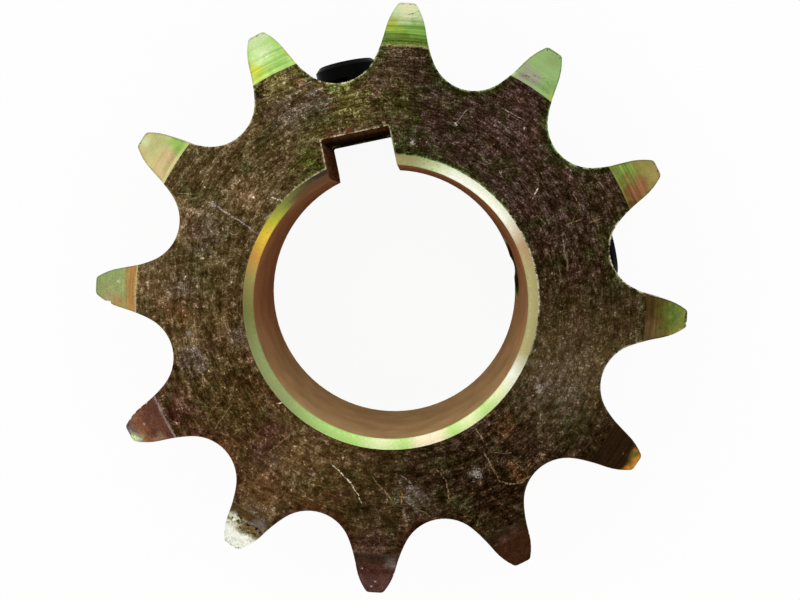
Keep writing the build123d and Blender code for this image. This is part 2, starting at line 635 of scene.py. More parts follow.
# Scratches on the toothed face: x and y of both ends, width, tint and strength
FACE_SCRATCHES = (
    (-16.9, -26.7, -14.6, -30.3, 0.12, Tint.CREAM, 1.0),
    (-14.8, -29.8, -13.2, -33.2, 0.13, Tint.CREAM, 1.0),
    (-13.4, -32.6, -12.7, -35.6, 0.09, Tint.CREAM, 1.0),
    (-28.2, 24.6, -20.7, 17.0, 0.15, Tint.ROSE, 0.9),
    (-34.6, 27.6, -30.4, 26.8, 0.1, Tint.SAND, 0.6),
    (-17.6, 23.5, -15.2, 22.3, 0.13, Tint.CREAM, 1.0),
    (18.1, 29.4, 21.3, 31.9, 0.09, Tint.ROSE, 0.6), (26.6, 30.9, 31.3, 27.1, 0.09, Tint.ROSE, 0.55),
    (25.2, 29.0, 29.6, 25.2, 0.09, Tint.ROSE, 0.45),
    (29.6, 13.8, 30.8, 15.3, 0.12, Tint.CREAM, 1.0), (37.9, 7.0, 41.4, 7.3, 0.16, Tint.TAN, 0.5),
    (36.6, 13.2, 37.5, 9.8, 0.12, Tint.TAN, 0.5), (37.5, 11.0, 38.8, 8.2, 0.2, Tint.ASHEN, 0.4),
    (35.3, 7.1, 36.6, 9.4, 0.14, Tint.TAN, 0.5), (34.0, 7.3, 37.7, 7.9, 0.12, Tint.TAN, 0.6),
    (34.4, 6.6, 37.3, 7.2, 0.3, Tint.SMOKE, 0.8), (30.7, 6.1, 33.6, 5.7, 0.25, Tint.SMOKE, 0.8),
    (33.3, 5.6, 32.9, 0.9, 0.15, Tint.ASHEN, 0.6), (33.1, 1.6, 33.0, -1.2, 0.15, Tint.TAN, 0.5),
    (3.4, 41.6, 8.6, 34.0, 0.12, Tint.TAN, 0.5), (11.2, -30.0, 12.9, -36.3, 0.14, Tint.TAN, 0.7),
    (12.6, -36.0, 14.5, -37.4, 0.12, Tint.TAN, 0.6),
    (13.5, -37.2, 17.4, -37.5, 0.14, Tint.TAN, 0.6),
    (16.6, -37.6, 19.2, -36.3, 0.12, Tint.TAN, 0.5), (12.2, -30.6, 16.6, -31.9, 0.1, Tint.TAN, 0.5),
    (1.8, -31.6, 3.5, -34.6, 0.12, Tint.TAN, 0.6), (3.3, -33.8, 3.3, -38.6, 0.12, Tint.TAN, 0.6),
    (-4.8, -31.3, -2.8, -34.0, 0.14, Tint.ASHEN, 0.6),
    (-3.1, -33.2, -2.7, -36.6, 0.14, Tint.ASHEN, 0.6),
    (-33.6, 27.0, -34.5, 21.6, 0.1, Tint.TAN, 0.5), (-44.0, 10.9, -40.7, 8.5, 0.12, Tint.TAN, 0.5),
    (-21.6, -19.2, -28.4, -22.9, 0.13, Tint.TAN, 0.5),
    (-28.9, -14.5, -26.3, -11.4, 0.1, Tint.OCHRE, 0.4),
    (29.3, 10.6, 31.1, 7.7, 0.09, Tint.SAND, 0.6), (10.5, -25.5, 11.7, -28.8, 0.12, Tint.TAN, 0.7),
    (-10.1, -30.3, -6.8, -36.9, 0.12, Tint.TAN, 0.6),
    (-5.5, -37.4, -5.6, -42.6, 0.3, Tint.TAN, 0.5), (-5.0, -36.4, -0.2, -40.8, 0.1, Tint.SAND, 0.5),
    (-9.0, -37.2, -3.0, -35.6, 0.08, Tint.SAND, 0.4),
    (-5.1, -34.2, -5.6, -37.3, 0.22, Tint.OCHRE, 0.6),
    (-37.5, -17.0, -32.0, -11.8, 0.09, Tint.TAN, 0.5),
    (-24.6, -14.0, -22.8, -14.1, 0.14, Tint.CREAM, 1.0),
    (-6.8, 32.4, 2.6, 32.5, 0.5, Tint.MAROON, 0.8), (-6.8, 32.2, 0.4, 32.3, 0.25, Tint.RUST, 0.7),
)

# Small specks on the toothed face: x, y, reach, tint and strength
FACE_MARKS = (
    (9.0, -34.1, 0.8, Tint.ASHEN, 0.8), (23.6, -21.1, 0.6, Tint.ASHEN, 0.8),
    (-27.1, -24.6, 0.5, Tint.SMOKE, 0.9), (-37.4, 2.1, 0.5, Tint.ASHEN, 0.5),
    (6.8, -27.8, 0.5, Tint.SMOKE, 0.8), (21.6, -33.2, 0.5, Tint.TAN, 0.6),
    (10.0, 27.9, 0.35, Tint.ROSE, 0.7), (18.3, 29.6, 0.22, Tint.ROSE, 0.9),
    (30.3, 26.2, 0.22, Tint.ROSE, 0.8), (24.6, 19.3, 0.25, Tint.ROSE, 0.6),
    (-20.4, -28.2, 0.35, Tint.ASHEN, 0.7), (-28.0, 24.5, 0.35, Tint.ROSE, 0.7),
    (-4.8, 32.4, 0.4, Tint.RUST, 0.7), (-2.6, 32.3, 0.22, Tint.ROSE, 0.8),
    (-1.7, 32.3, 0.2, Tint.ASHEN, 0.8), (-0.6, 32.4, 0.4, Tint.RUST, 0.7),
    (0.2, 32.3, 0.2, Tint.ASHEN, 0.8), (1.0, 32.5, 0.22, Tint.TAN, 0.7),
    (5.6, 32.4, 0.25, Tint.TAN, 0.7), (-15.8, 42.4, 1.2, Tint.SOOT, 0.8),
)

# Cloudy patches on the toothed face, the BISTRE ones darker towards the bottom: x, y, reach, tint
# and strength
FACE_SMUDGES = (
    (14.02, -38.53, 7.0, Tint.BISTRE, 0.8), (6.86, -32.28, 6.0, Tint.BISTRE, 0.6),
    (17.94, -32.36, 5.0, Tint.BISTRE, 0.6), (28.93, -34.47, 4.5, Tint.BISTRE, 0.9),
    (32.91, -30.69, 3.5, Tint.BISTRE, 0.8), (11.3, -39.41, 4.0, Tint.BISTRE, 0.7),
    (1.61, -45.97, 5.0, Tint.BISTRE, 0.7), (0.0, -33.0, 4.5, Tint.UMBER, 0.7),
    (-12.68, -44.22, 3.5, Tint.PUCE, 0.6), (-11.03, -38.45, 4.5, Tint.UMBER, 0.4),
    (36.37, 21.0, 3.5, Tint.FOREST, 0.7), (31.79, 16.9, 4.0, Tint.UMBER, 0.5),
    (42.69, 10.64, 4.5, Tint.UMBER, 0.7), (9.27, 28.53, 4.0, Tint.FOREST, 0.8),
    (-22.26, -35.62, 4.0, Tint.CHESTNUT, 0.6), (-22.75, -25.27, 5.0, Tint.COCOA, 0.5),
    (-29.16, -22.78, 2.6, Tint.PUCE, 0.5), (-31.82, -31.82, 4.5, Tint.COCOA, 0.5),
    (-35.51, -20.5, 3.0, Tint.CHESTNUT, 0.6), (-37.98, 1.33, 4.0, Tint.COCOA, 0.5),
    (-41.53, 11.13, 5.0, Tint.COCOA, 0.3), (-34.39, 22.33, 4.0, Tint.COCOA, 0.5),
    (-30.88, 2.7, 4.0, Tint.BARK, 0.7), (-21.0, 36.37, 4.0, Tint.COCOA, 0.4),
    (-21.41, 23.78, 4.0, Tint.COCOA, 0.5), (0.0, 37.0, 4.0, Tint.OLIVE, 0.6),
    (-1.43, 40.98, 2.5, Tint.BRONZE, 0.4), (-11.65, 43.47, 3.0, Tint.STRAW, 0.25),
    (-37.3, -2.9, 2.8, Tint.SMOKE, 0.7), (-36.8, 10.2, 2.8, Tint.SMOKE, 0.5),
    (-27.8, -0.2, 2.4, Tint.SMOKE, 0.5), (-30.8, 19.7, 3.6, Tint.SMOKE, 0.5),
    (-5.8, 38.2, 3.0, Tint.SMOKE, 0.8), (-11.2, 37.6, 3.6, Tint.SMOKE, 0.5),
    (-3.6, -36.2, 2.6, Tint.SMOKE, 0.7), (27.2, -20.3, 6.5, Tint.SMOKE, 0.4),
    (16.8, -36.3, 1.4, Tint.CHESTNUT, 0.9), (15.8, -33.9, 0.8, Tint.CHESTNUT, 0.7),
    (18.8, -34.6, 0.9, Tint.CHESTNUT, 0.7), (16.2, -26.4, 2.4, Tint.CHESTNUT, 0.5),
    (-22.3, -23.1, 1.4, Tint.COCOA, 0.7), (-26.8, -19.4, 3.6, Tint.GARNET, 0.6),
    (-29.8, -28.5, 3.4, Tint.CHESTNUT, 0.6), (-38.4, 6.2, 2.4, Tint.CHESTNUT, 0.7),
    (-38.3, -2.2, 1.6, Tint.SMOKE, 0.8), (-7.55, 42.84, 1.0, Tint.COCOA, 0.7),
    (-4.38, 41.67, 0.8, Tint.COCOA, 0.7), (-9.3, 28.1, 3.0, Tint.MOSS, 0.7),
    (-6.0, 34.5, 4.0, Tint.MOSS, 0.5), (9.5, 35.5, 4.0, Tint.MOSS, 0.5),
    (-33.4, -34.6, 2.6, Tint.SMOKE, 0.8), (-42.98, -11.52, 4.0, Tint.GARNET, 0.8),
)

# The pale line where the relief starts: how much of it is left, and its hue
RELIEF_LINE = (
    (0, 0.2), (10, 0.7), (20, 0.7), (30, 0.0), (90, 0.0), (225, 0.1), (240, 0.7), (270, 0.7),
    (285, 0.9), (300, 0.2),
)
RELIEF_LINE_HUES = (
    (0, Tint.SAND), (225, Tint.SAND), (245, Tint.ASHEN), (265, Tint.ASHEN), (285, Tint.SAND),
)


@dataclass(frozen=True)
class ToothFilmAndReflection:
    """The film on one tooth's relief, with a painted reflection: light on the upper teeth, dark on
    the lower ones, near white for a glint on tooth 225.

    Its bands run from the tooth's base to its tip. A place in its rows is the distance from the
    bore axis along the tooth's middle, and the offset from the middle, clockwise.
    """

    tooth: float
    bands: tuple[Tint, Tint, Tint, Tint]
    smudge_rows: tuple[Row, ...]
    scratch_rows: tuple[Row, ...] = ()
    ruled: float = 0.3
    mottled: float = 0.2
    outline: float = 0.5
    spattered: float = 0.0

    def smudges(self) -> list[Smudge]:
        """Return the tooth's cloudy patches."""
        return smudges(self.smudge_rows, partial(on_tooth, self.tooth))

    def scratches(self) -> list[Scratch]:
        """Return the tooth's scratches."""
        return scratches(self.scratch_rows, partial(on_tooth, self.tooth))


# Films with their painted reflections: bright tints on the upper teeth, dark tints on the lower
# ones.
FILMS_AND_REFLECTIONS = (
    ToothFilmAndReflection(
        15,
        (Tint.FERN, Tint.GRASS, Tint.LICHEN, Tint.MINT),
        (
            (50.8, -2.4, 1.8, Tint.CITRON, 0.6), (50.5, 2.8, 1.8, Tint.GRASS, 0.6),
            (54.0, 0.0, 1.6, Tint.CREAM, 0.6),
        ),
        (
            (52.6, 0.2, 53.5, 2.6, 0.12, Tint.FERN, 0.9),
            (52.0, 0.6, 52.4, 3.0, 0.12, Tint.FERN, 0.8),
            (51.0, 1.0, 53.3, 1.2, 0.08, Tint.FERN, 0.6),
            (47.5, -5.4, 47.5, 5.4, 0.45, Tint.MOSS, 0.9),
        ),
        ruled=0.8, mottled=0.1, outline=0.3,
    ),
    ToothFilmAndReflection(
        45,
        (Tint.JADE, Tint.JADE, Tint.JADE, Tint.JADE),
        (
            (48.0, -1.6, 2.4, Tint.ASHEN, 0.9), (48.8, 3.0, 1.8, Tint.GRASS, 0.5),
            (47.3, 4.2, 1.0, Tint.CITRON, 0.8), (47.5, -4.6, 0.8, Tint.MINT, 0.9),
            (53.3, 0.4, 1.8, Tint.SAGE, 0.6),
        ),
        (
            (48.7, -1.2, 49.9, 1.6, 0.1, Tint.PUCE, 0.8),
            (47.7, -2.8, 48.6, -0.8, 0.1, Tint.PUCE, 0.8),
            (49.5, 1.6, 48.3, 2.9, 0.1, Tint.PUCE, 0.8),
        ),
        ruled=0.12, mottled=0.08, outline=0.8,
    ),
    ToothFilmAndReflection(
        75,
        (Tint.BRONZE, Tint.BRONZE, Tint.STRAW, Tint.STRAW),
        (
            (49.0, -2.4, 2.2, Tint.GRASS, 0.6), (48.6, 2.2, 3.0, Tint.RUST, 0.8),
            (46.8, 3.6, 1.6, Tint.MAROON, 0.6), (50.4, 1.6, 2.2, Tint.COPPER, 0.8),
            (54.2, 0.4, 1.4, Tint.TAN, 0.4),
        ),
        ruled=0.7, mottled=0.2, outline=0.8,
    ),
    ToothFilmAndReflection(
        105,
        (Tint.BARK, Tint.OLIVE, Tint.BRONZE, Tint.BRONZE),
        (
            (48.0, 2.4, 2.2, Tint.COCOA, 0.5), (52.3, -0.8, 2.0, Tint.FERN, 0.7),
        ),
        (
            (50.4, 3.6, 55.4, 1.6, 0.3, Tint.AMBER, 0.9),
            (53.2, 2.5, 55.6, 1.5, 0.2, Tint.CREAM, 0.8),
            (54.8, -1.8, 54.9, 1.8, 0.25, Tint.SOOT, 0.9),
        ),
        ruled=0.45, mottled=0.3, outline=0.9,
    ),
    ToothFilmAndReflection(
        135,
        (Tint.BISTRE, Tint.BISTRE, Tint.BISTRE, Tint.AMBER),
        ((53.5, -1.4, 1.4, Tint.OLIVE, 0.8),),
        (
            (48.0, -1.5, 50.8, 1.5, 0.15, Tint.UMBER, 0.9),
            (51.3, -0.5, 51.5, 0.1, 0.15, Tint.SMOKE, 0.8),
        ),
        ruled=0.8, mottled=0.35, outline=0.9,
    ),
    ToothFilmAndReflection(
        165,
        (Tint.UMBER, Tint.LIVER, Tint.LIVER, Tint.LIVER),
        (
            (48.8, 1.0, 1.0, Tint.PUCE, 0.7), (47.8, -1.4, 1.0, Tint.PUCE, 0.6),
            (48.5, 3.2, 1.2, Tint.BISTRE, 0.8),
        ),
        ((49.0, 3.2, 49.2, 2.6, 0.2, Tint.SMOKE, 1.0),),
        ruled=0.3, mottled=0.7, outline=0.9,
    ),
    ToothFilmAndReflection(
        195,
        (Tint.PLUM, Tint.GARNET, Tint.PUCE, Tint.PUCE),
        (
            (48.5, -2.8, 1.6, Tint.DOVE, 0.6), (50.5, 0.4, 1.6, Tint.GARNET, 0.6),
        ),
        (
            (49.8, 2.9, 50.0, 2.3, 0.25, Tint.ROSE, 0.9),
            (52.6, -0.3, 52.6, 0.2, 0.2, Tint.ROSE, 0.8),
            (53.6, 0.5, 53.9, 0.9, 0.25, Tint.ROSE, 0.8),
        ),
        ruled=0.15, mottled=0.75, outline=0.5,
    ),
    # Painted highlight: the near-white tip stands for a lamp's glint.
    ToothFilmAndReflection(
        225,
        (Tint.BARK, Tint.COCOA, Tint.PEARL, Tint.PEARL),
        (
            (48.3, -2.6, 1.4, Tint.DOVE, 0.8), (50.0, 2.4, 1.4, Tint.PEARL, 0.9),
        ),
        (
            (49.5, -4.0, 51.3, 0.6, 0.3, Tint.SOOT, 0.9),
            (50.3, -3.4, 51.8, 1.0, 0.25, Tint.OLIVE, 0.9),
            (51.0, -2.6, 51.9, 0.4, 0.2, Tint.CITRON, 0.9),
            (48.8, 0.4, 50.0, 4.0, 0.3, Tint.MINT, 0.9),
            (48.0, 1.4, 49.0, 4.4, 0.2, Tint.SOOT, 0.8),
            (48.5, -1.6, 49.3, 1.6, 0.3, Tint.ASHEN, 0.8),
            (49.9, 1.4, 51.1, 3.0, 0.15, Tint.OLIVE, 0.8),
        ),
        ruled=0.3, mottled=0.5, outline=0.0, spattered=1.0,
    ),
    ToothFilmAndReflection(
        255,
        (Tint.WINE, Tint.WINE, Tint.COPPER, Tint.DOVE),
        (
            (54.5, -1.4, 1.8, Tint.LICHEN, 0.9), (49.8, -3.2, 1.2, Tint.TAN, 0.4),
            (52.0, 1.0, 2.2, Tint.WINE, 0.6),
        ),
        ((51.0, 0.2, 51.3, 0.7, 0.25, Tint.ROSE, 0.9),),
        ruled=0.15, mottled=0.55, outline=0.4,
    ),
    ToothFilmAndReflection(
        285,
        (Tint.CLAY, Tint.SAGE, Tint.SAGE, Tint.SAGE),
        (
            (52.0, -2.0, 2.0, Tint.TAN, 0.6), (50.3, -3.0, 1.4, Tint.CLAY, 0.6),
        ),
        (
            (48.2, -5.5, 48.2, 5.5, 0.22, Tint.OCHRE, 0.7),
            (50.2, 0.9, 50.3, 1.5, 0.3, Tint.PEARL, 1.0),
            (50.9, 0.6, 51.0, 1.0, 0.2, Tint.PEARL, 1.0),
        ),
        ruled=0.35, mottled=0.25, outline=0.5,
    ),
    ToothFilmAndReflection(
        315,
        (Tint.SAND, Tint.SAND, Tint.SAND, Tint.BUFF),
        (
            (48.5, 3.4, 2.4, Tint.GRASS, 0.9), (49.0, -0.2, 1.8, Tint.TAN, 0.7),
            (48.3, -3.2, 1.8, Tint.TAN, 0.6), (51.4, 1.2, 2.2, Tint.SAGE, 0.5),
            (54.5, 0.0, 1.4, Tint.LICHEN, 0.6),
        ),
        ((46.5, 0.8, 52.8, 1.2, 0.35, Tint.TAN, 0.7),),
        ruled=0.2, mottled=0.1, outline=0.7,
    ),
    ToothFilmAndReflection(
        345,
        (Tint.LEAF, Tint.LEAF, Tint.LEAF, Tint.LICHEN),
        (
            (48.3, -2.8, 2.2, Tint.CITRON, 0.9), (51.5, -0.4, 2.2, Tint.LICHEN, 0.7),
            (48.3, 1.6, 2.8, Tint.GRASS, 0.6),
        ),
        (
            (45.8, -4.8, 52.0, -3.0, 0.35, Tint.CLAY, 0.9),
            (45.8, 4.8, 51.4, 3.2, 0.35, Tint.OCHRE, 0.9),
            (50.0, -2.6, 50.5, 2.8, 0.14, Tint.MINT, 0.5),
            (51.0, -2.8, 51.5, 2.4, 0.2, Tint.MINT, 0.5),
        ),
        ruled=0.35, mottled=0.1, outline=0.3,
    ),
)


# ---- finishes


BROACHED = Cloud(2.5, 3.0, 0.7)
BROACHED_STRETCH = 0.03
TURNED = Cloud(3.0, 3.0, 0.7)
FACED = Rings(3.0, 2.0, 3.0)


def lines_along_axis(bench: NodeBench) -> Socket:
    """Return broaching lines that run along the bore axis."""
    along = bench.times(bench.z, BROACHED_STRETCH)
    return bench.noise(BROACHED, bench.combine(bench.x, bench.y, along))


def lines_round_axis(bench: NodeBench) -> Socket:
    """Return turning lines on a shaft."""
    return bench.noise(TURNED, bench.combine(0.0, 0.0, bench.z))


def lines_in_rings(bench: NodeBench) -> Socket:
    """Return turning lines on an end face."""
    return bench.rings(FACED)


@dataclass(frozen=True)
class FaceFinish:
    """Faced front of the toothed plate: dark chromate with turning marks, speckle and scratches."""

    name: str = "face_chromate"
    exposure: float = -0.27
    hue: Cloud = Cloud(0.2, 5.0, 0.68)
    depth: Cloud = Cloud(0.35, 5.0, 0.68)
    aside: tuple[float, float, float] = (40.0, 0.0, 0.0)
    outlines: Cloud = Cloud(0.9, 5.0, 0.7)
    flecks: Spots = Spots(Cloud(1.9, 1.0), 0.66, 0.74)
    pits: Spots = Spots(Cloud(1.6, 2.0, 0.6), 0.36, 0.29)
    scuffs: tuple[Curls, Curls] = (curls(0.5, 0.022, 0.53), curls(0.9, 0.03, 0.56))
    fleck_lift: float = 1.7
    pit_lift: float = -1.5
    scuff_lift: float = 1.1
    fine: Rings = Rings(3.6, 26.0)
    broad: Rings = Rings(1.1, 6.0, 3.0)
    fine_swing: float = 3.2
    grain_swing: float = 4.4
    patch_swing: float = 4.6
    broad_swing: float = 2.8
    hairline_ways: Shares = ((12, 2.5), (47, 2.0), (78, 3.0), (121, 2.0), (155, 2.5))
    hairline_width: float = 0.11
    hairline_rare: float = 0.64
    hairline_lift: float = 1.25
    hairline_patch: Range = (0.42, 0.6)
    edge_stray: float = 3.0
    gap_share: float = 0.75
    smudge_ragged: float = 5.0
    mark_ragged: float = 7.0
    rim_grain: Range = (0.34, 0.56)
    rim_patch: Range = (0.38, 0.55)
    gap_reach: Range = (3.6, 1.9)
    mouth_reach: Range = (31.0, 29.0)
    gap_border: Range = (46.5, 46.1)
    relief_border: Range = (46.2, 46.6)
    groove_depth: float = 0.012
    rough: float = 0.34
    rough_swing: float = 0.2
    ground: Stops = (
        (0, Tint.DRAB), (20, Tint.PLUM), (60, Tint.PLUM), (95, Tint.UMBER), (122, Tint.DRAB),
        (145, Tint.UMBER), (180, Tint.UMBER), (212, Tint.BARK), (250, Tint.BARK), (290, Tint.DRAB),
        (330, Tint.DRAB),
    )
    # Burr and worn film along the gap edges, with a painted highlight: pale at the top, dark at the
    # bottom.
    rims: Stops = (
        (0, Tint.CREAM), (18, Tint.SAGE), (34, Tint.LEAF), (60, Tint.LEAF), (80, Tint.CREAM),
        (100, Tint.CREAM), (130, Tint.BARK), (200, Tint.MAROON), (250, Tint.RUST), (290, Tint.DRAB),
        (325, Tint.SAND),
    )
    fine_contrast: Shares = (
        (0, 1.6), (80, 1.65), (100, 1.3), (120, 0.85), (140, 1.1), (160, 1.7), (180, 1.35),
        (200, 1.05), (220, 0.85), (240, 1.0), (260, 1.2), (280, 0.95), (300, 1.1), (330, 1.25),
    )
    broad_contrast: Shares = (
        (0, 1.4), (30, 1.0), (60, 1.15), (80, 1.5), (100, 1.1), (120, 0.75), (140, 1.0),
        (160, 1.65), (180, 1.4), (200, 1.0), (240, 0.9), (260, 1.4), (300, 1.15), (330, 1.0),
    )
    gap_zone: Stops = (
        (0, Tint.MOSS), (16, Tint.FOREST), (30, Tint.FOREST), (90, Tint.FOREST), (118, Tint.DRAB),
        (135, Tint.UMBER), (170, Tint.BISTRE), (190, Tint.LIVER), (212, Tint.MAROON),
        (250, Tint.MAROON), (275, Tint.DRAB), (330, Tint.DRAB), (348, Tint.MOSS),
    )
    mouth_zone: Shares = ((0, 0.9), (40, 0.7), (65, 0.3), (110, 0.1), (300, 0.1), (350, 0.7))

    def film(self, bench: NodeBench) -> Socket:
        """Return the film's colour without its wear: hue by angle, soft patches and edges.

        Args:
            bench: Bench of the material.

        Returns:
            The colour.
        """
        hue = bench.noise(self.hue)
        depth = bench.noise(self.depth, bench.vector("ADD", bench.point, self.aside))
        colour = bench.around(self.ground)
        for cloud, start, end, share, tint in (
            (hue, 0.5, 0.66, 0.45, Tint.MAUVE),
            (hue, 0.5, 0.36, 0.55, Tint.FOREST),
            (depth, 0.55, 0.7, 0.4, Tint.DRAB),
        ):
            colour = bench.mix(bench.times(bench.span(cloud, start, end), share), colour, tint)
        place = bench.sloped(depth, self.edge_stray, bench.from_gap())
        gap = bench.times(bench.span(place, *self.gap_reach), self.gap_share)
        colour = bench.mix(gap, colour, bench.around(self.gap_zone))
        place = bench.sloped(depth, self.edge_stray, bench.radius)
        mouth = bench.span(place, *self.mouth_reach)
        mouth = bench.times(mouth, bench.share_around(self.mouth_zone))
        colour = bench.mix(mouth, colour, Tint.FOREST)
        patches = smudges(FACE_SMUDGES, on_face)
        return bench.smudged(colour, patches, bench.noise(self.outlines), self.smudge_ragged)

    def wear(self, bench: NodeBench, fine: Socket, grain: Socket, patch: Socket) -> Socket:
        """Return how worn the film is.

        Args:
            bench: Bench of the material.
            fine: Turning marks.
            grain: The film's grain.
            patch: The film's patchiness.

        Returns:
            How much lighter the wear makes the film, as a power of two.
        """
        quick = bench.summed((fine, self.fine_swing), (grain, self.grain_swing))
        broad = bench.rings(self.broad)
        slow = bench.summed((patch, self.patch_swing), (broad, self.broad_swing))
        wear = bench.times(quick, bench.share_around(self.fine_contrast))
        wear = bench.sloped(slow, bench.share_around(self.broad_contrast), wear)
        wear = bench.sloped(bench.spots(self.flecks), self.fleck_lift, wear)
        wear = bench.sloped(bench.spots(self.pits), self.pit_lift, wear)
        scuffs = bench.math("MAXIMUM", *(bench.curled(scuff) for scuff in self.scuffs))
        wear = bench.sloped(scuffs, self.scuff_lift, wear)
        for way in self.hairline_ways:
            lines = bench.hairlines(*way, self.hairline_width, self.hairline_rare)
            lines = bench.times(lines, bench.span(patch, *self.hairline_patch))
            wear = bench.sloped(lines, self.hairline_lift, wear)
        return bench.math("ADD", wear, self.exposure)

    def make(self) -> bpy.types.Material:
        """Make the material.

        Returns:
            The material.
        """
        bench = NodeBench(self.name)
        fine = bench.rings(self.fine)
        grain, patch = bench.noise(GRAIN), bench.noise(PATCHES)
        colour = bench.worn(self.film(bench), self.wear(bench, fine, grain, patch))
        colour = bench.smudged(colour, smudges(FACE_MARKS, on_face), grain, self.mark_ragged)
        colour = bench.scratched(colour, scratches(FACE_SCRATCHES, on_face))
        ragged = bench.times(bench.rim(), bench.span(grain, *self.rim_grain))
        ragged = bench.times(ragged, bench.span(patch, *self.rim_patch))
        # The gap edges get their burr and worn film, with a painted highlight.
        at_gap = bench.times(ragged, bench.span(bench.radius, *self.gap_border))
        colour = bench.mix(at_gap, colour, bench.around(self.rims))
        at_relief = bench.times(ragged, bench.span(bench.radius, *self.relief_border))
        at_relief = bench.times(at_relief, bench.share_around(RELIEF_LINE))
        colour = bench.mix(at_relief, colour, bench.around(RELIEF_LINE_HUES))
        rough = bench.sloped(grain, self.rough_swing, self.rough)
        return bench.shade(colour, rough, bench.bump(fine, self.groove_depth))


@dataclass(frozen=True)
class ReliefFinish:
    """Turned side relief of the teeth, front and back, with a film and a painted reflection of its
    own on each tooth.
    """

    name: str = "relief_chromate_and_reflection"
    rings: Rings = Rings(3.0, 2.5, 3.0)
    soft: Cloud = Cloud(0.6, 1.5)
    dots: Spots = Spots(Cloud(1.5, 3.0, 0.6), 0.5, 0.56)
    band_starts: tuple[float, float, float] = (48.9, 51.3, 53.7)
    band_blend: float = 1.1
    band_stray: float = 2.0
    smudge_ragged: float = 2.0
    two_tints: Range = (0.45, 0.55)
    base_line: Range = (RELIEF_START + 0.5, RELIEF_START + 0.2)
    outlined: Range = (RELIEF_START + 0.4, RELIEF_START + 1.2)
    spatter_start: Range = (48.4, 49.2)
    spatter_end: Range = (51.6, 50.0)
    ruled_reach: Range = (54.5, 47.5)
    ruled_least: float = 0.5
    ruled_swing: float = 5.0
    grain_swing: float = 6.0
    patch_swing: float = 4.0
    rim_grain: Range = (0.36, 0.56)
    groove_depth: float = 0.012
    rough: float = 0.34

    def per_tooth(self, bench: NodeBench, name: str) -> Socket:
        """Return a number of the films that changes from tooth to tooth.

        Args:
            bench: Bench of the material.
            name: Field of the films that holds the number.

        Returns:
            The number.
        """
        stops = [(film.tooth, getattr(film, name)) for film in FILMS_AND_REFLECTIONS]
        return bench.share_around([(0.0, stops[0][1]), *stops])

    def film(self, bench: NodeBench, soft: Socket, patch: Socket) -> Socket:
        """Return the films' colours with their painted reflections, without their grain: bands,
        patches, scratches and spatter.

        Args:
            bench: Bench of the material.
            soft: Noise that bends the bands.
            patch: The film's patchiness.

        Returns:
            The colour.
        """
        inner = bench.math("SUBTRACT", bench.radius, self.band_stray / 2)
        place = bench.sloped(soft, self.band_stray, inner)
        colour, *bands = (bench.by_tooth(tints) for tints in zip(*(film.bands for film in FILMS_AND_REFLECTIONS)))
        for start, tints in zip(self.band_starts, bands):
            band = bench.span(place, start - self.band_blend, start + self.band_blend)
            colour = bench.mix(band, colour, tints)
        for film in FILMS_AND_REFLECTIONS:
            colour = bench.smudged(colour, film.smudges(), soft, self.smudge_ragged)
            colour = bench.scratched(colour, film.scratches())
        edges = (bench.span(place, *reach) for reach in (self.spatter_start, self.spatter_end))
        spattered = self.per_tooth(bench, "spattered")
        dots = bench.times(bench.spots(self.dots), bench.times(*edges), spattered)
        dot = bench.mix(bench.span(patch, *self.two_tints), Tint.SOOT, Tint.OLIVE)
        return bench.mix(dots, colour, dot)

    def make(self) -> bpy.types.Material:
        """Make the material.

        Returns:
            The material.
        """
        bench = NodeBench(self.name)
        rings = bench.rings(self.rings)
        grain, patch = bench.noise(GRAIN), bench.noise(PATCHES)
        ruled, mottled = self.per_tooth(bench, "ruled"), self.per_tooth(bench, "mottled")
        ruled = bench.times(bench.math("SUBTRACT", rings, 0.5), ruled)
        fading = bench.span(bench.radius, *self.ruled_reach)
        fading = bench.sloped(fading, self.ruled_swing, self.ruled_least)
        grains, patches = bench.times(grain, self.grain_swing), bench.times(patch, self.patch_swing)
        middle = (self.grain_swing + self.patch_swing) / 2
        uneven = bench.math("SUBTRACT", bench.math("ADD", grains, patches), middle)
        mottled = bench.times(uneven, mottled)
        doublings = bench.math("ADD", bench.times(ruled, fading), mottled)
        colour = self.film(bench, bench.noise(self.soft), patch)
        colour = bench.scaled(colour, bench.math("POWER", 2.0, doublings))
        ragged = bench.times(bench.rim(), bench.span(grain, *self.rim_grain))
        at_base = bench.times(ragged, bench.span(bench.radius, *self.base_line))
        at_base = bench.times(at_base, bench.share_around(RELIEF_LINE))
        colour = bench.mix(at_base, colour, bench.around(RELIEF_LINE_HUES))
        outline = bench.times(ragged, bench.span(bench.radius, *self.outlined))
        outline = bench.times(outline, self.per_tooth(bench, "outline"))
        colour = bench.mix(outline, colour, Tint.UMBER)
        return bench.shade(colour, self.rough, bench.bump(rings, self.groove_depth))


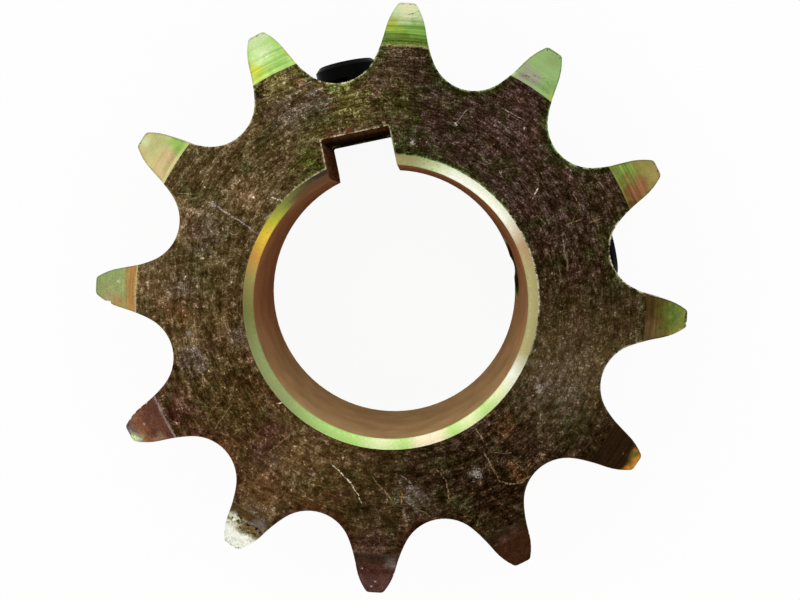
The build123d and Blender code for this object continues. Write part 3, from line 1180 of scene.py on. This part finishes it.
@dataclass(frozen=True)
class MouthFinish:
    """Turned chamfer at the bore's mouths, with the film's hue and a painted reflection of the
    bright surroundings running round it.
    """

    name: str = "mouth_chromate_and_reflection"
    # The film's hue with a painted reflection: the near-white tints stand for the bright
    # surroundings the chamfer mirrors.
    hues_and_highlights: Stops = (
        (0, Tint.SAND), (20, Tint.SAND), (30, Tint.LICHEN), (38, Tint.PEARL), (64, Tint.PEARL),
        (78, Tint.TAN), (90, Tint.SAND), (122, Tint.SAND), (132, Tint.PEARL), (142, Tint.MINT),
        (150, Tint.APPLE), (158, Tint.MINT), (166, Tint.APPLE), (172, Tint.CREAM),
        (180, Tint.CREAM), (186, Tint.APPLE), (196, Tint.MINT), (206, Tint.APPLE), (222, Tint.LEAF),
        (238, Tint.SAGE), (260, Tint.SAGE), (278, Tint.BRONZE), (292, Tint.STRAW),
        (301, Tint.OCHRE), (310, Tint.GOLD), (318, Tint.CITRON), (327, Tint.BRONZE),
        (334, Tint.OLIVE), (341, Tint.BISTRE), (349, Tint.BISTRE),
    )
    pitted: Shares = ((0, 0.8), (30, 0.6), (45, 0.1), (90, 0.1), (300, 0.3), (345, 0.5))
    # Painted reflection: how much lighter the chamfer is at each angle.
    reflection_lifts: Shares = (
        (0, 0.9), (22, 1.0), (36, 1.35), (62, 1.35), (85, 1.2), (120, 1.15), (165, 1.4),
        (200, 1.35), (240, 1.25), (280, 1.05), (300, 1.4), (325, 1.15),
    )
    warmed: Shares = ((0, 0.0), (320, 0.0), (335, 0.9), (350, 0.9))
    warm_reach: Range = (27.0, 26.6)
    cloud: Cloud = Cloud(2.2, 4.0, 0.7)
    pits: Spots = Spots(Cloud(1.8, 4.0, 0.7), 0.43, 0.33)
    rings: Rings = Rings(5.0, 10.0)
    lift_reach: Range = (0.3, 0.7)
    lift_swing: float = 0.36
    least_lift: float = 0.82
    warm_stray: float = 0.8
    rim_grain: Range = (0.4, 0.56)
    rim_share: float = 0.35
    groove_depth: float = 0.01
    rough: float = 0.3
    metal: float = 0.2
    grazing: float = 0.3

    def make(self) -> bpy.types.Material:
        """Make the material.

        Returns:
            The material.
        """
        bench = NodeBench(self.name)
        grain = bench.noise(self.cloud)
        grain_and_reflection = bench.span(grain, *self.lift_reach)
        grain_and_reflection = bench.sloped(grain_and_reflection, self.lift_swing, self.least_lift)
        grain_and_reflection = bench.times(grain_and_reflection, bench.share_around(self.reflection_lifts))
        colour = bench.scaled(bench.around(self.hues_and_highlights), grain_and_reflection)
        pits = bench.times(bench.spots(self.pits), bench.share_around(self.pitted))
        colour = bench.mix(pits, colour, Tint.BRONZE)
        warm = bench.span(bench.sloped(grain, self.warm_stray, bench.radius), *self.warm_reach)
        warm = bench.times(warm, bench.share_around(self.warmed))
        colour = bench.mix(warm, colour, Tint.CHESTNUT)
        rim = bench.times(bench.rim(), bench.span(grain, *self.rim_grain), self.rim_share)
        colour = bench.mix(rim, colour, Tint.DRAB)
        bump = bench.bump(bench.rings(self.rings), self.groove_depth)
        return bench.shade(colour, self.rough, bump, self.metal, self.grazing)


@dataclass(frozen=True)
class BoreFinish:
    """Smooth bored wall, warm brown and darker on the keyway's side."""

    name: str = "bore_chromate"
    ground: Stops = (
        (0, Tint.COPPER), (80, Tint.COPPER), (145, Tint.FAWN), (235, Tint.FAWN), (280, Tint.COPPER),
    )
    feed: Cloud = Cloud(0.25, 3.0)
    feed_stretch: float = 18.0
    blotches: Cloud = Cloud(0.16, 4.0, 0.6)
    blotch_swing: float = 0.9
    feed_swing: float = 0.3
    least: float = 0.4
    groove_depth: float = 0.01
    rough: float = 0.6

    def make(self) -> bpy.types.Material:
        """Make the material.

        Returns:
            The material.
        """
        bench = NodeBench(self.name)
        squeezed = bench.combine(bench.x, bench.y, bench.times(bench.z, self.feed_stretch))
        feed = bench.noise(self.feed, squeezed)
        level = bench.sloped(feed, self.feed_swing, self.least)
        level = bench.sloped(bench.noise(self.blotches), self.blotch_swing, level)
        colour = bench.scaled(bench.around(self.ground), level)
        return bench.shade(colour, self.rough, bench.bump(feed, self.groove_depth), 0.0, 0.0)


@dataclass(frozen=True)
class CutFinish:
    """A cut surface with tool lines along one direction: tooth flanks, hub, back or chips."""

    name: str
    dark: Tint
    light: Tint
    lines: Callable[[NodeBench], Socket]
    metal: float = 1.0
    rough: float = 0.36
    line_depth: float = 0.02
    line_share: float = 0.5
    blotches: Cloud = Cloud(0.2, 4.0, 0.6)
    blotch_swing: float = 1.1
    blotch_start: float = -0.3

    def make(self) -> bpy.types.Material:
        """Make the material.

        Returns:
            The material.
        """
        bench = NodeBench(self.name)
        lines = self.lines(bench)
        blotch = bench.sloped(bench.noise(self.blotches), self.blotch_swing, self.blotch_start)
        share = bench.math("MULTIPLY_ADD", lines, self.line_share, blotch, clamp=True)
        colour = bench.mix(share, self.dark, self.light)
        return bench.shade(colour, self.rough, bench.bump(lines, self.line_depth), self.metal)


@dataclass(frozen=True)
class KeywayFinish:
    """Broached walls of the keyway, with painted shade on the ceiling round the set screw's hole,
    darker deeper down.
    """

    name: str = "keyway_chromate_and_shade"
    line_reach: Range = (0.3, 0.7)
    ceiling: Range = (31.0, 31.4)
    walls: Range = (31.3, 31.0)
    shade_depth: Range = (32.0, 20.0)
    shade_share: float = 0.8
    wall_lift: float = 0.9
    line_depth: float = 0.02
    rough: float = 0.6

    def make(self) -> bpy.types.Material:
        """Make the material.

        Returns:
            The material.
        """
        bench = NodeBench(self.name)
        lines = lines_along_axis(bench)
        colour = bench.mix(bench.span(lines, *self.line_reach), Tint.LIVER, Tint.CHESTNUT)
        # Painted shade: the ceiling darkens towards the set screw's hole, deeper in the bore.
        shaded = bench.times(bench.span(bench.z, *self.shade_depth), bench.span(bench.y, *self.ceiling))
        colour = bench.mix(bench.times(shaded, self.shade_share), colour, Tint.SOOT)
        level = bench.sloped(bench.span(bench.y, *self.walls), self.wall_lift, 1.0)
        bump = bench.bump(lines, self.line_depth)
        return bench.shade(bench.scaled(colour, level), self.rough, bump, 0.0, 0.0)


@dataclass(frozen=True)
class EdgeFinish:
    """Thin burr and worn film along the edges, with a painted highlight, brighter than the surfaces
    beside it.

    Beside the keyway its lower end is bare and its upper end is still filmed. The edges down in the
    bore get painted shade.
    """

    name: str = "edge_wear_and_highlight"
    # Burr and worn film with a painted highlight: pale at the top, darker towards the bottom.
    hues_and_highlights: Stops = (
        (0, Tint.CREAM), (20, Tint.SAND), (34, Tint.APPLE), (70, Tint.APPLE), (90, Tint.CREAM),
        (110, Tint.SAND), (200, Tint.COCOA), (260, Tint.COCOA), (300, Tint.SAND),
    )
    keyway_reach: Range = (34.5, 33.5)
    keyway_top: Range = (31.6, 31.2)
    keyway_foot: Range = (24.0, 24.5)
    bare: Range = (29.0, 27.0)
    filmed: Range = (27.5, 29.5)
    film_left: float = 0.7
    bore_shade_radius: Range = (37.0, 34.0)
    bore_shade_height: Range = (34.0, 28.0)
    worn: Spots = Spots(Cloud(0.8, 4.0, 0.7), 0.44, 0.58)
    rough: float = 0.35

    def make(self) -> bpy.types.Material:
        """Make the material.

        Returns:
            The material.
        """
        bench = NodeBench(self.name)
        beside = bench.times(
            bench.span(bench.radius, *self.keyway_reach),
            bench.span(bench.y, *self.keyway_top),
            bench.span(bench.y, *self.keyway_foot),
        )
        bare = bench.times(beside, bench.span(bench.y, *self.bare))
        wear = bench.math("MAXIMUM", bench.spots(self.worn), bare)
        kept = bench.times(beside, bench.span(bench.y, *self.filmed))
        wear = bench.times(wear, bench.sloped(kept, -self.film_left, 1.0))
        colour = bench.mix(wear, Tint.BARK, bench.around(self.hues_and_highlights))
        # Painted shade: the edges deep in the bore are darkened towards BISTRE.
        inside = bench.times(
            bench.span(bench.radius, *self.bore_shade_radius), bench.span(bench.z, *self.bore_shade_height)
        )
        return bench.shade(bench.mix(inside, colour, Tint.BISTRE), self.rough)


@dataclass(frozen=True)
class BlackOxide:
    """Black oxide on the set screws, slightly oily."""

    name: str = "black_oxide"
    grazing: float = 0.02
    darkest: tuple[float, float, float, float] = (0.0015, 0.0015, 0.0015, 1.0)
    lightest: tuple[float, float, float, float] = (0.005, 0.005, 0.005, 1.0)
    cloud: Cloud = Cloud(0.7, 3.0)
    rough: float = 0.25
    rough_swing: float = 0.2

    def make(self) -> bpy.types.Material:
        """Make the material.

        Returns:
            The material.
        """
        bench = NodeBench(self.name)
        cloud = bench.noise(self.cloud)
        colour = bench.mix(cloud, self.darkest, self.lightest)
        rough = bench.sloped(cloud, self.rough_swing, self.rough)
        return bench.shade(colour, rough, metal=0.0, grazing=self.grazing)


def finishes() -> dict[Zone, bpy.types.Material]:
    """Return the material of each machined surface."""
    makers = {
        Zone.FACE: FaceFinish(),
        Zone.RELIEF: ReliefFinish(),
        Zone.MOUTH: MouthFinish(),
        Zone.BORE: BoreFinish(),
        Zone.KEYWAY: KeywayFinish(),
        Zone.FLANK: CutFinish("flank_chromate", Tint.BARK, Tint.STRAW, lines_along_axis, 0.6),
        Zone.BACK: CutFinish("back_chromate", Tint.UMBER, Tint.STRAW, lines_in_rings),
        Zone.HUB: CutFinish("hub_chromate", Tint.BARK, Tint.BRONZE, lines_round_axis),
        Zone.EDGE: EdgeFinish(),
        Zone.CHIP: CutFinish("chipped_steel", Tint.SMOKE, Tint.CREAM, lines_along_axis),
    }
    return {zone: maker.make() for zone, maker in makers.items()}


# ---- sub-assemblies


def new_piece(name: str, mesh: bpy.types.Mesh) -> bpy.types.Object:
    """Put a mesh in the scene as a piece that rides on the part.

    Args:
        name: Name of the piece.
        mesh: Its mesh, in place.

    Returns:
        The piece.
    """
    piece = bpy.data.objects.new(name, mesh)
    bpy.context.scene.collection.objects.link(piece)
    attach(piece, BODY)
    return piece


def baked(mesh: bmesh.types.BMesh, name: str) -> bpy.types.Mesh:
    """Return the data of an edit mesh, and free the edit mesh.

    Args:
        mesh: The edit mesh.
        name: Name of the data.

    Returns:
        The data.
    """
    data = bpy.data.meshes.new(name)
    mesh.to_mesh(data)
    mesh.free()
    return data


def cut_mesh(
    base: bpy.types.Mesh, cuts: Sequence[tuple[str, bpy.types.Mesh]], crossing: bool = False
) -> bpy.types.Mesh:
    """Cut a mesh with exact booleans.

    Args:
        base: The mesh to cut.
        cuts: For each cut, its operation and the mesh that makes it, in order.
        crossing: Whether a cut's mesh runs through itself.

    Returns:
        The cut mesh.
    """
    shapes = [bpy.data.objects.new("shape", data) for data in (base, *(data for _, data in cuts))]
    for shape in shapes:
        bpy.context.scene.collection.objects.link(shape)
    for (operation, _), tool in zip(cuts, shapes[1:]):
        cut = shapes[0].modifiers.new("cut", "BOOLEAN")
        cut.operation, cut.object, cut.solver = operation, tool, "EXACT"
        cut.use_self = crossing
    depsgraph = bpy.context.evaluated_depsgraph_get()
    data = bpy.data.meshes.new_from_object(shapes[0].evaluated_get(depsgraph))
    for shape in shapes:
        bpy.data.objects.remove(shape)
    return data


@dataclass(frozen=True)
class Chip:
    """A small dent knocked into an edge of the wheel."""

    place: Point
    height: float
    size: tuple[float, float, float]
    turn: float
    least: float = 0.85
    uneven: float = 0.3
    lumps: float = 3.0

    def cutter(self, mesh: bmesh.types.BMesh) -> None:
        """Add the dent's cutter, an uneven lump, to a mesh.

        Args:
            mesh: The mesh.
        """
        made = bmesh.ops.create_icosphere(mesh, subdivisions=2, radius=0.5)
        centre = Vector((*self.place, self.height))
        spread = Matrix.Diagonal((*(side * MM for side in self.size), 1.0))
        turn = Matrix.Rotation(math.radians(-self.turn), 4, "Z")
        for vert in made["verts"]:
            vert.co *= self.least + self.uneven * noise.noise(vert.co * self.lumps + centre)
        spot = Matrix.Translation(centre * MM)
        bmesh.ops.transform(mesh, matrix=spot @ turn @ spread, verts=made["verts"])


CHIPS = (
    Chip(on_tooth(285, 52.2, -3.1), 35.2, (1.9, 1.6, 3.4), 15),
    Chip(on_tooth(285, 53.3, -2.8), 35.0, (1.4, 1.0, 2.2), 10),
    Chip(on_tooth(285, 51.2, -3.4), 35.9, (1.0, 0.5, 1.4), 15),
    Chip(on_tooth(255, 53.3, 2.6), 35.2, (1.0, 1.2, 1.8), 75),
    Chip(on_tooth(255, 51.9, 3.2), 35.8, (0.9, 1.0, 1.8), 75),
    Chip(on_tooth(255, 50.5, 3.6), 36.5, (0.8, 1.3, 1.6), 75),
    Chip(on_tooth(255, 48.9, 3.9), 37.2, (0.8, 0.9, 1.4), 75),
    Chip(on_tooth(255, 54.6, -1.4), 34.6, (0.8, 0.8, 1.2), 30),
    Chip(on_tooth(195, 50.8, -3.5), 36.4, (0.7, 0.8, 1.0), 15),
    Chip(on_tooth(195, 48.9, 4.0), 37.2, (0.6, 0.9, 1.0), 15),
    Chip(on_tooth(165, 49.9, -3.7), 36.8, (0.5, 0.9, 1.0), 15),
    Chip(on_tooth(105, 54.9, 0.9), 34.8, (0.6, 1.0, 1.2), 15),
    Chip(on_tooth(45, 47.4, 4.3), 37.8, (0.9, 0.5, 1.0), 45),
    Chip(on_face(-28.8, 34.4), 38.1, (0.5, 1.9, 0.8), 5),
)


@dataclass
class ToothedWheel:
    """Toothed plate and hub, a refined copy of the CAD node.

    A tilt is the upward part of a face's normal, from 0 for a wall to 1 for a level face. Inward is
    the part that points at the bore axis.
    """

    finishes: dict[Zone, bpy.types.Material]
    node: str = "sprocket"
    name: str = "toothed_wheel"
    slot: str = "yellow_zinc_steel"
    top: float = 38.1
    plate_back: float = 23.5
    bore_radius: float = 25.4
    mouth_width: float = 2.2
    keyway_half_width: float = 6.35
    keyway_foot: float = 24.2
    keyway_corner: float = 33.3
    root_radius: float = 41.0
    slack: float = 0.05
    margin: float = 0.3
    level_tilt: float = 0.999
    back_tilt: float = 0.9
    mouth_tilts: Range = (0.5, 0.9)
    relief_tilt: float = 0.3
    wall_tilt: float = 0.1
    mouth_inward: float = 0.5
    bore_inward: float = 0.9
    edge_break: float = 0.12
    edge_steps: int = 2
    border_width: float = 0.35
    weld_gap: float = 0.001
    flat_angle: float = 0.2
    edge_angle: float = 28.0
    smooth_angle: float = 35.0

    def zone_of(self, face: bmesh.types.BMFace) -> Zone:
        """Find the machined surface that a face belongs to.

        Args:
            face: The face.

        Returns:
            Its surface.
        """
        centre, normal = face.calc_center_median() / MM, face.normal
        radius, tilt = math.hypot(centre.x, centre.y), abs(normal.z)
        inward = -(normal.x * centre.x + normal.y * centre.y) / max(radius, TINY)
        in_plate = centre.z > self.plate_back - self.slack
        wall = tilt < self.wall_tilt
        beside = self.keyway_half_width + self.slack
        in_slot = abs(centre.x) < beside and centre.y > self.keyway_foot
        least, most = self.mouth_tilts
        tests = {
            Zone.FACE: normal.z > self.level_tilt and centre.z > self.top - self.slack,
            Zone.RELIEF: in_plate
            and radius > RELIEF_START - self.margin
            and self.relief_tilt < tilt < self.level_tilt,
            Zone.MOUTH: radius < self.bore_radius + self.mouth_width
            and least < tilt < most
            and inward > self.mouth_inward,
            Zone.KEYWAY: wall and in_slot and radius < self.keyway_corner,
            Zone.BORE: wall
            and radius < self.bore_radius + self.margin
            and inward > self.bore_inward,
            Zone.FLANK: in_plate
            and tilt < self.relief_tilt
            and radius > self.root_radius - self.margin,
            Zone.BACK: in_plate and normal.z < -self.back_tilt,
            Zone.HUB: True,
        }
        return next(zone for zone, fits in tests.items() if fits)

    def border(self, mesh: bmesh.types.BMesh) -> None:
        """Give the machined faces a narrow border of their own, and mark its outer line.

        Args:
            mesh: The wheel's mesh.
        """
        rim = mesh.verts.layers.float.new(RIM)
        for zone in (Zone.FACE, Zone.RELIEF, Zone.MOUTH):
            faces = [face for face in mesh.faces if face.material_index == zone.value]
            bmesh.ops.inset_region(
                mesh,
                faces=faces,
                thickness=self.border_width * MM,
                use_even_offset=True,
                use_boundary=True,
            )
            inner = {vert for face in faces if face.is_valid for vert in face.verts}
            faces = [face for face in mesh.faces if face.material_index == zone.value]
            for vert in {vert for face in faces for vert in face.verts} - inner:
                vert[rim] = 1.0

    def refine(self, mesh: bmesh.types.BMesh) -> None:
        """Merge the loose triangles into whole faces, sort them by surface and break the edges.

        Args:
            mesh: The wheel's mesh.
        """
        bmesh.ops.remove_doubles(mesh, verts=mesh.verts, dist=self.weld_gap * MM)
        angle = math.radians(self.flat_angle)
        bmesh.ops.dissolve_limit(mesh, angle_limit=angle, verts=mesh.verts, edges=mesh.edges)
        mesh.normal_update()
        for face in mesh.faces:
            face.material_index = self.zone_of(face).value
        self.border(mesh)
        sharp = [e for e in mesh.edges if e.calc_face_angle(0.0) > math.radians(self.edge_angle)]
        made = bmesh.ops.bevel(
            mesh,
            geom=sharp,
            offset=self.edge_break * MM,
            offset_type="OFFSET",
            segments=self.edge_steps,
            profile=0.5,
            affect="EDGES",
            clamp_overlap=True,
            material=-1,
        )
        for face in made["faces"]:
            face.material_index = Zone.EDGE.value
        for face in mesh.faces:
            face.smooth = True
        smooth = math.radians(self.smooth_angle)
        for edge in mesh.edges:
            zones = {face.material_index for face in edge.link_faces}
            edge.smooth = len(zones) == 1 and edge.calc_face_angle(0.0) < smooth

    def chipped(self, whole: bpy.types.Mesh) -> bpy.types.Mesh:
        """Cut the dents into the wheel's edges.

        Args:
            whole: The wheel's mesh.

        Returns:
            The mesh with its dents.
        """
        mesh = bmesh.new()
        for chip in CHIPS:
            chip.cutter(mesh)
        for face in mesh.faces:
            face.material_index, face.smooth = Zone.CHIP.value, False
        cutters = baked(mesh, "dents")
        for zone in Zone:
            cutters.materials.append(self.finishes[zone])
        cut = cut_mesh(whole, (("DIFFERENCE", cutters),), crossing=True)
        rim = cut.attributes[RIM]
        for face in cut.polygons:
            if face.material_index == Zone.CHIP.value:
                for vert in face.vertices:
                    rim.data[vert].value = 0.0
        return cut

    def build(self) -> bpy.types.Object:
        """Build the wheel, which stands for the CAD node.

        Returns:
            The wheel.
        """
        mesh = bmesh.new()
        mesh.from_mesh(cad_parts[self.node].data)
        self.refine(mesh)
        data = baked(mesh, self.name)
        for zone in Zone:
            data.materials.append(self.finishes[zone])
        piece = new_piece(self.name, self.chipped(data))
        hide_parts(self.node)
        return piece


class Side(Enum):
    """The two directions in which a set screw points outwards."""

    KEYWAY = (0.0, 1.0, 0.0)
    QUARTER_TURN = (1.0, 0.0, 0.0)


@dataclass
class SetScrew:
    """Cup-point socket set screw with its thread. The thread's form is in shares of its pitch."""

    node: str
    side: Side
    point_radius: float
    height: float = 7.75
    length: float = 15.9
    radius: float = 6.35
    pitch: float = 1.954
    thread_depth: float = 1.1
    crest_end: float = 0.14
    root_start: float = 0.46
    root_end: float = 0.68
    plain_end: float = 4.0
    end_chamfer: float = 0.9
    point_chamfer: float = 2.0
    cup_radius: float = 3.4
    cup_depth: float = 1.6
    socket_flats: float = 6.35
    socket_depth: float = 6.0
    drill_cone: float = 1.2
    overrun: float = 2.0
    turns_before: float = 1.5
    turns_after: float = 2.5
    weld_gap: float = 1e-4
    sides: int = 6
    steps: int = 72
    smooth_angle: float = 25.0
    slot: str = "black_oxide_steel"

    def spun(self, profile: Sequence[Point], steps: int, rise: float = 0.0) -> bmesh.types.BMesh:
        """Turn a profile round the Z axis.

        Args:
            profile: Points as radius and height.
            steps: Steps of a full turn.
            rise: How far the profile climbs in a full turn.

        Returns:
            The shell, closed where the profile starts and ends on the axis.
        """
        mesh = bmesh.new()
        points = [mesh.verts.new((r * MM, 0.0, z * MM)) for r, z in profile]
        lines = [mesh.edges.new(pair) for pair in zip(points, points[1:])]
        bmesh.ops.spin(
            mesh,
            geom=points + lines,
            cent=(0, 0, 0),
            axis=(0, 0, 1),
            dvec=(0, 0, rise * MM / steps),
            angle=2 * math.pi,
            steps=steps,
            use_merge=rise == 0.0,
            use_duplicate=False,
        )
        bmesh.ops.remove_doubles(mesh, verts=mesh.verts, dist=self.weld_gap * MM)
        if rise == 0.0:
            bmesh.ops.recalc_face_normals(mesh, faces=mesh.faces)
        return mesh

    def thread(self) -> bmesh.types.BMesh:
        """Make a threaded rod, longer than the screw at both ends and plain near the socket.

        Returns:
            The rod.
        """
        low = -self.turns_before * self.pitch
        high = self.length + self.turns_after * self.pitch
        profile, z = [], low - self.pitch
        while z < high:
            threaded = z + self.pitch < self.length - self.plain_end
            bottom = self.radius - self.thread_depth * threaded
            for radius, share in (
                (self.radius, 0.0),
                (self.radius, self.crest_end),
                (bottom, self.root_start),
                (bottom, self.root_end),
            ):
                profile.append((radius, z + share * self.pitch))
            z += self.pitch
        mesh = self.spun(profile, self.steps, self.pitch)
        for height, side in ((low + self.pitch, -1), (high - self.pitch, 1)):
            bmesh.ops.bisect_plane(
                mesh,
                geom=mesh.verts[:] + mesh.edges[:] + mesh.faces[:],
                plane_co=(0, 0, height * MM),
                plane_no=(0, 0, side),
                clear_outer=True,
            )
        rims = [edge for edge in mesh.edges if edge.is_boundary]
        bmesh.ops.holes_fill(mesh, edges=rims, sides=0)
        bmesh.ops.recalc_face_normals(mesh, faces=mesh.faces)
        return mesh

    def blank(self) -> bmesh.types.BMesh:
        """Make the screw's body without its thread and socket.

        Returns:
            The body.
        """
        profile = (
            (0.0, self.cup_depth),
            (self.cup_radius - self.cup_depth, self.cup_depth),
            (self.cup_radius, 0.0),
            (self.radius - self.point_chamfer, 0.0),
            (self.radius, self.point_chamfer),
            (self.radius, self.length - self.end_chamfer),
            (self.radius - self.end_chamfer, self.length),
            (0.0, self.length),
        )
        return self.spun(profile, self.steps)

    def hexagon(self) -> bmesh.types.BMesh:
        """Make the cutter of the hexagon socket, with a drilled cone at its end.

        Returns:
            The cutter.
        """
        corner = self.socket_flats / math.sqrt(3)
        bottom, top = self.length - self.socket_depth, self.length + self.overrun
        profile = ((0.0, bottom - self.drill_cone), (corner, bottom), (corner, top), (0.0, top))
        return self.spun(profile, self.sides)

    def build(self, finish: bpy.types.Material, matt: bpy.types.Material) -> bpy.types.Object:
        """Build the screw in its place, which stands for the CAD node.

        Args:
            finish: Material of the screw.
            matt: Material of its point, down in the hole.

        Returns:
            The screw.
        """
        blank, rod, hexagon = (
            baked(mesh, self.node) for mesh in (self.blank(), self.thread(), self.hexagon())
        )
        data = cut_mesh(blank, (("INTERSECT", rod), ("DIFFERENCE", hexagon)))
        outward = Vector(self.side.value)
        place = Matrix.Translation((outward * self.point_radius + Vector((0, 0, self.height))) * MM)
        data.transform(place @ outward.to_track_quat("Z", "X").to_matrix().to_4x4())
        data.materials.clear()
        data.materials.append(finish)
        data.materials.append(matt)
        mesh = bmesh.new()
        mesh.from_mesh(data)
        point_end = (self.point_radius + self.point_chamfer) * MM
        for face in mesh.faces:
            face.smooth = True
            face.material_index = int(face.calc_center_median().dot(outward) < point_end)
        smooth = math.radians(self.smooth_angle)
        for edge in mesh.edges:
            edge.smooth = edge.is_manifold and edge.calc_face_angle(0.0) < smooth
        mesh.to_mesh(data)
        mesh.free()
        piece = new_piece(self.node + "_threaded", data)
        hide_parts(self.node)
        return piece


# ---- studio


@dataclass
class Studio:
    """Pale floor, soft light and the camera.

    The floor and the lamp are in metres, and the lamp's power is in watts. The camera's turn is in
    degrees and its shift in millimetres.
    """

    image_width: float = 800.0
    focal_pixels: float = 1335.91
    sensor: float = 36.0
    camera_turn: tuple[float, float, float] = (-11.8079, 0.8672, 3.8255)
    camera_shift: tuple[float, float, float] = (-1.1826, -1.9418, 283.0561)
    clip: Range = (0.01, 50.0)
    floor_half: float = 6.0
    floor_tone: float = 0.86
    floor_glow: float = 0.93
    glow_seen_by: tuple[str, ...] = ("Is Camera Ray", "Is Glossy Ray", "Is Transmission Ray")
    world_light: float = 0.95
    lamp_place: tuple[float, float, float] = (-0.9, 1.0, 1.6)
    lamp_aim: tuple[float, float, float] = (0.0, 0.0, 0.03)
    lamp_size: float = 1.6
    lamp_power: float = 6.0

    def camera(self) -> None:
        """Place the camera over the toothed face."""
        turn = Matrix.Identity(3)
        for axis, angle in zip("ZYX", self.camera_turn):
            turn = Matrix.Rotation(math.radians(angle), 3, axis) @ turn
        flip = Matrix.Diagonal((1, -1, -1))
        facing = (flip @ turn @ flip).transposed()
        place = -(flip @ (turn.transposed() @ Vector(self.camera_shift))) * MM
        data = bpy.data.cameras.new("camera")
        data.sensor_fit = "HORIZONTAL"
        data.sensor_width = self.sensor
        data.lens = self.focal_pixels / self.image_width * self.sensor
        data.clip_start, data.clip_end = self.clip
        camera = bpy.data.objects.new("camera", data)
        bpy.context.scene.collection.objects.link(camera)
        camera.matrix_world = Matrix.Translation(place) @ facing.to_4x4()
        bpy.context.scene.camera = camera

    def floor(self) -> None:
        """Lay the pale floor under the hub, which glows only where it is seen or mirrored."""
        mesh = bmesh.new()
        bmesh.ops.create_grid(mesh, x_segments=1, y_segments=1, size=self.floor_half)
        data = baked(mesh, "floor")
        material = bpy.data.materials.new("floor_white")
        material.use_nodes = True
        nodes = Nodes(material.node_tree)
        path = nodes.node("ShaderNodeLightPath").outputs
        seen = reduce(partial(nodes.math, "MAXIMUM"), (path[name] for name in self.glow_seen_by))
        share = nodes.math("MULTIPLY", seen, self.floor_glow)
        tone = (*(self.floor_tone,) * 3, 1.0)
        matt = nodes.node("ShaderNodeBsdfDiffuse", {"Color": tone}).outputs[0]
        glow = nodes.node("ShaderNodeEmission", {"Strength": 1.0}).outputs[0]
        both = nodes.node("ShaderNodeMixShader", {0: share, 1: matt, 2: glow}).outputs[0]
        nodes.node("ShaderNodeOutputMaterial", {"Surface": both})
        data.materials.append(material)
        floor = bpy.data.objects.new("floor", data)
        bpy.context.scene.collection.objects.link(floor)

    def world(self) -> None:
        """Light the scene evenly, with a white background."""
        world = bpy.data.worlds.new("studio")
        bpy.context.scene.world = world
        world.use_nodes = True
        nodes = Nodes(world.node_tree)
        light, seen = (
            nodes.node("ShaderNodeBackground", {0: (1.0, 1.0, 1.0, 1.0), 1: strength}).outputs[0]
            for strength in (self.world_light, 1.0)
        )
        straight = nodes.node("ShaderNodeLightPath").outputs["Is Camera Ray"]
        both = nodes.node("ShaderNodeMixShader", {0: straight, 1: light, 2: seen}).outputs[0]
        nodes.node("ShaderNodeOutputWorld", {"Surface": both})

    def lamp(self) -> None:
        """Hang a soft square lamp that points at the plate."""
        data = bpy.data.lights.new("softbox", "AREA")
        data.size, data.energy = self.lamp_size, self.lamp_power
        lamp = bpy.data.objects.new("softbox", data)
        bpy.context.scene.collection.objects.link(lamp)
        lamp.location = self.lamp_place
        lamp.rotation_mode = "QUATERNION"
        away = Vector(self.lamp_place) - Vector(self.lamp_aim)
        lamp.rotation_quaternion = away.to_track_quat("Z", "Y")

    def build(self) -> None:
        """Set up the whole studio."""
        bpy.context.scene.view_settings.view_transform = "Standard"
        self.floor()
        self.world()
        self.lamp()
        self.camera()


# ---- main


def main() -> None:
    """Build the sub-assemblies in order and report each piece."""
    logging.basicConfig(level=logging.INFO, format="%(message)s")
    pieces = [ToothedWheel(finishes()).build()]
    oxide, matt = BlackOxide().make(), BlackOxide("black_oxide_point", 0.0).make()
    pieces.append(SetScrew("keyway_set_screw", Side.KEYWAY, 31.9).build(oxide, matt))
    pieces.append(SetScrew("side_set_screw", Side.QUARTER_TURN, 29.75).build(oxide, matt))
    Studio().build()
    for piece in pieces:
        LOG.info("%s: %d faces", piece.name, len(piece.data.polygons))


if __name__ == "__main__":
    main()
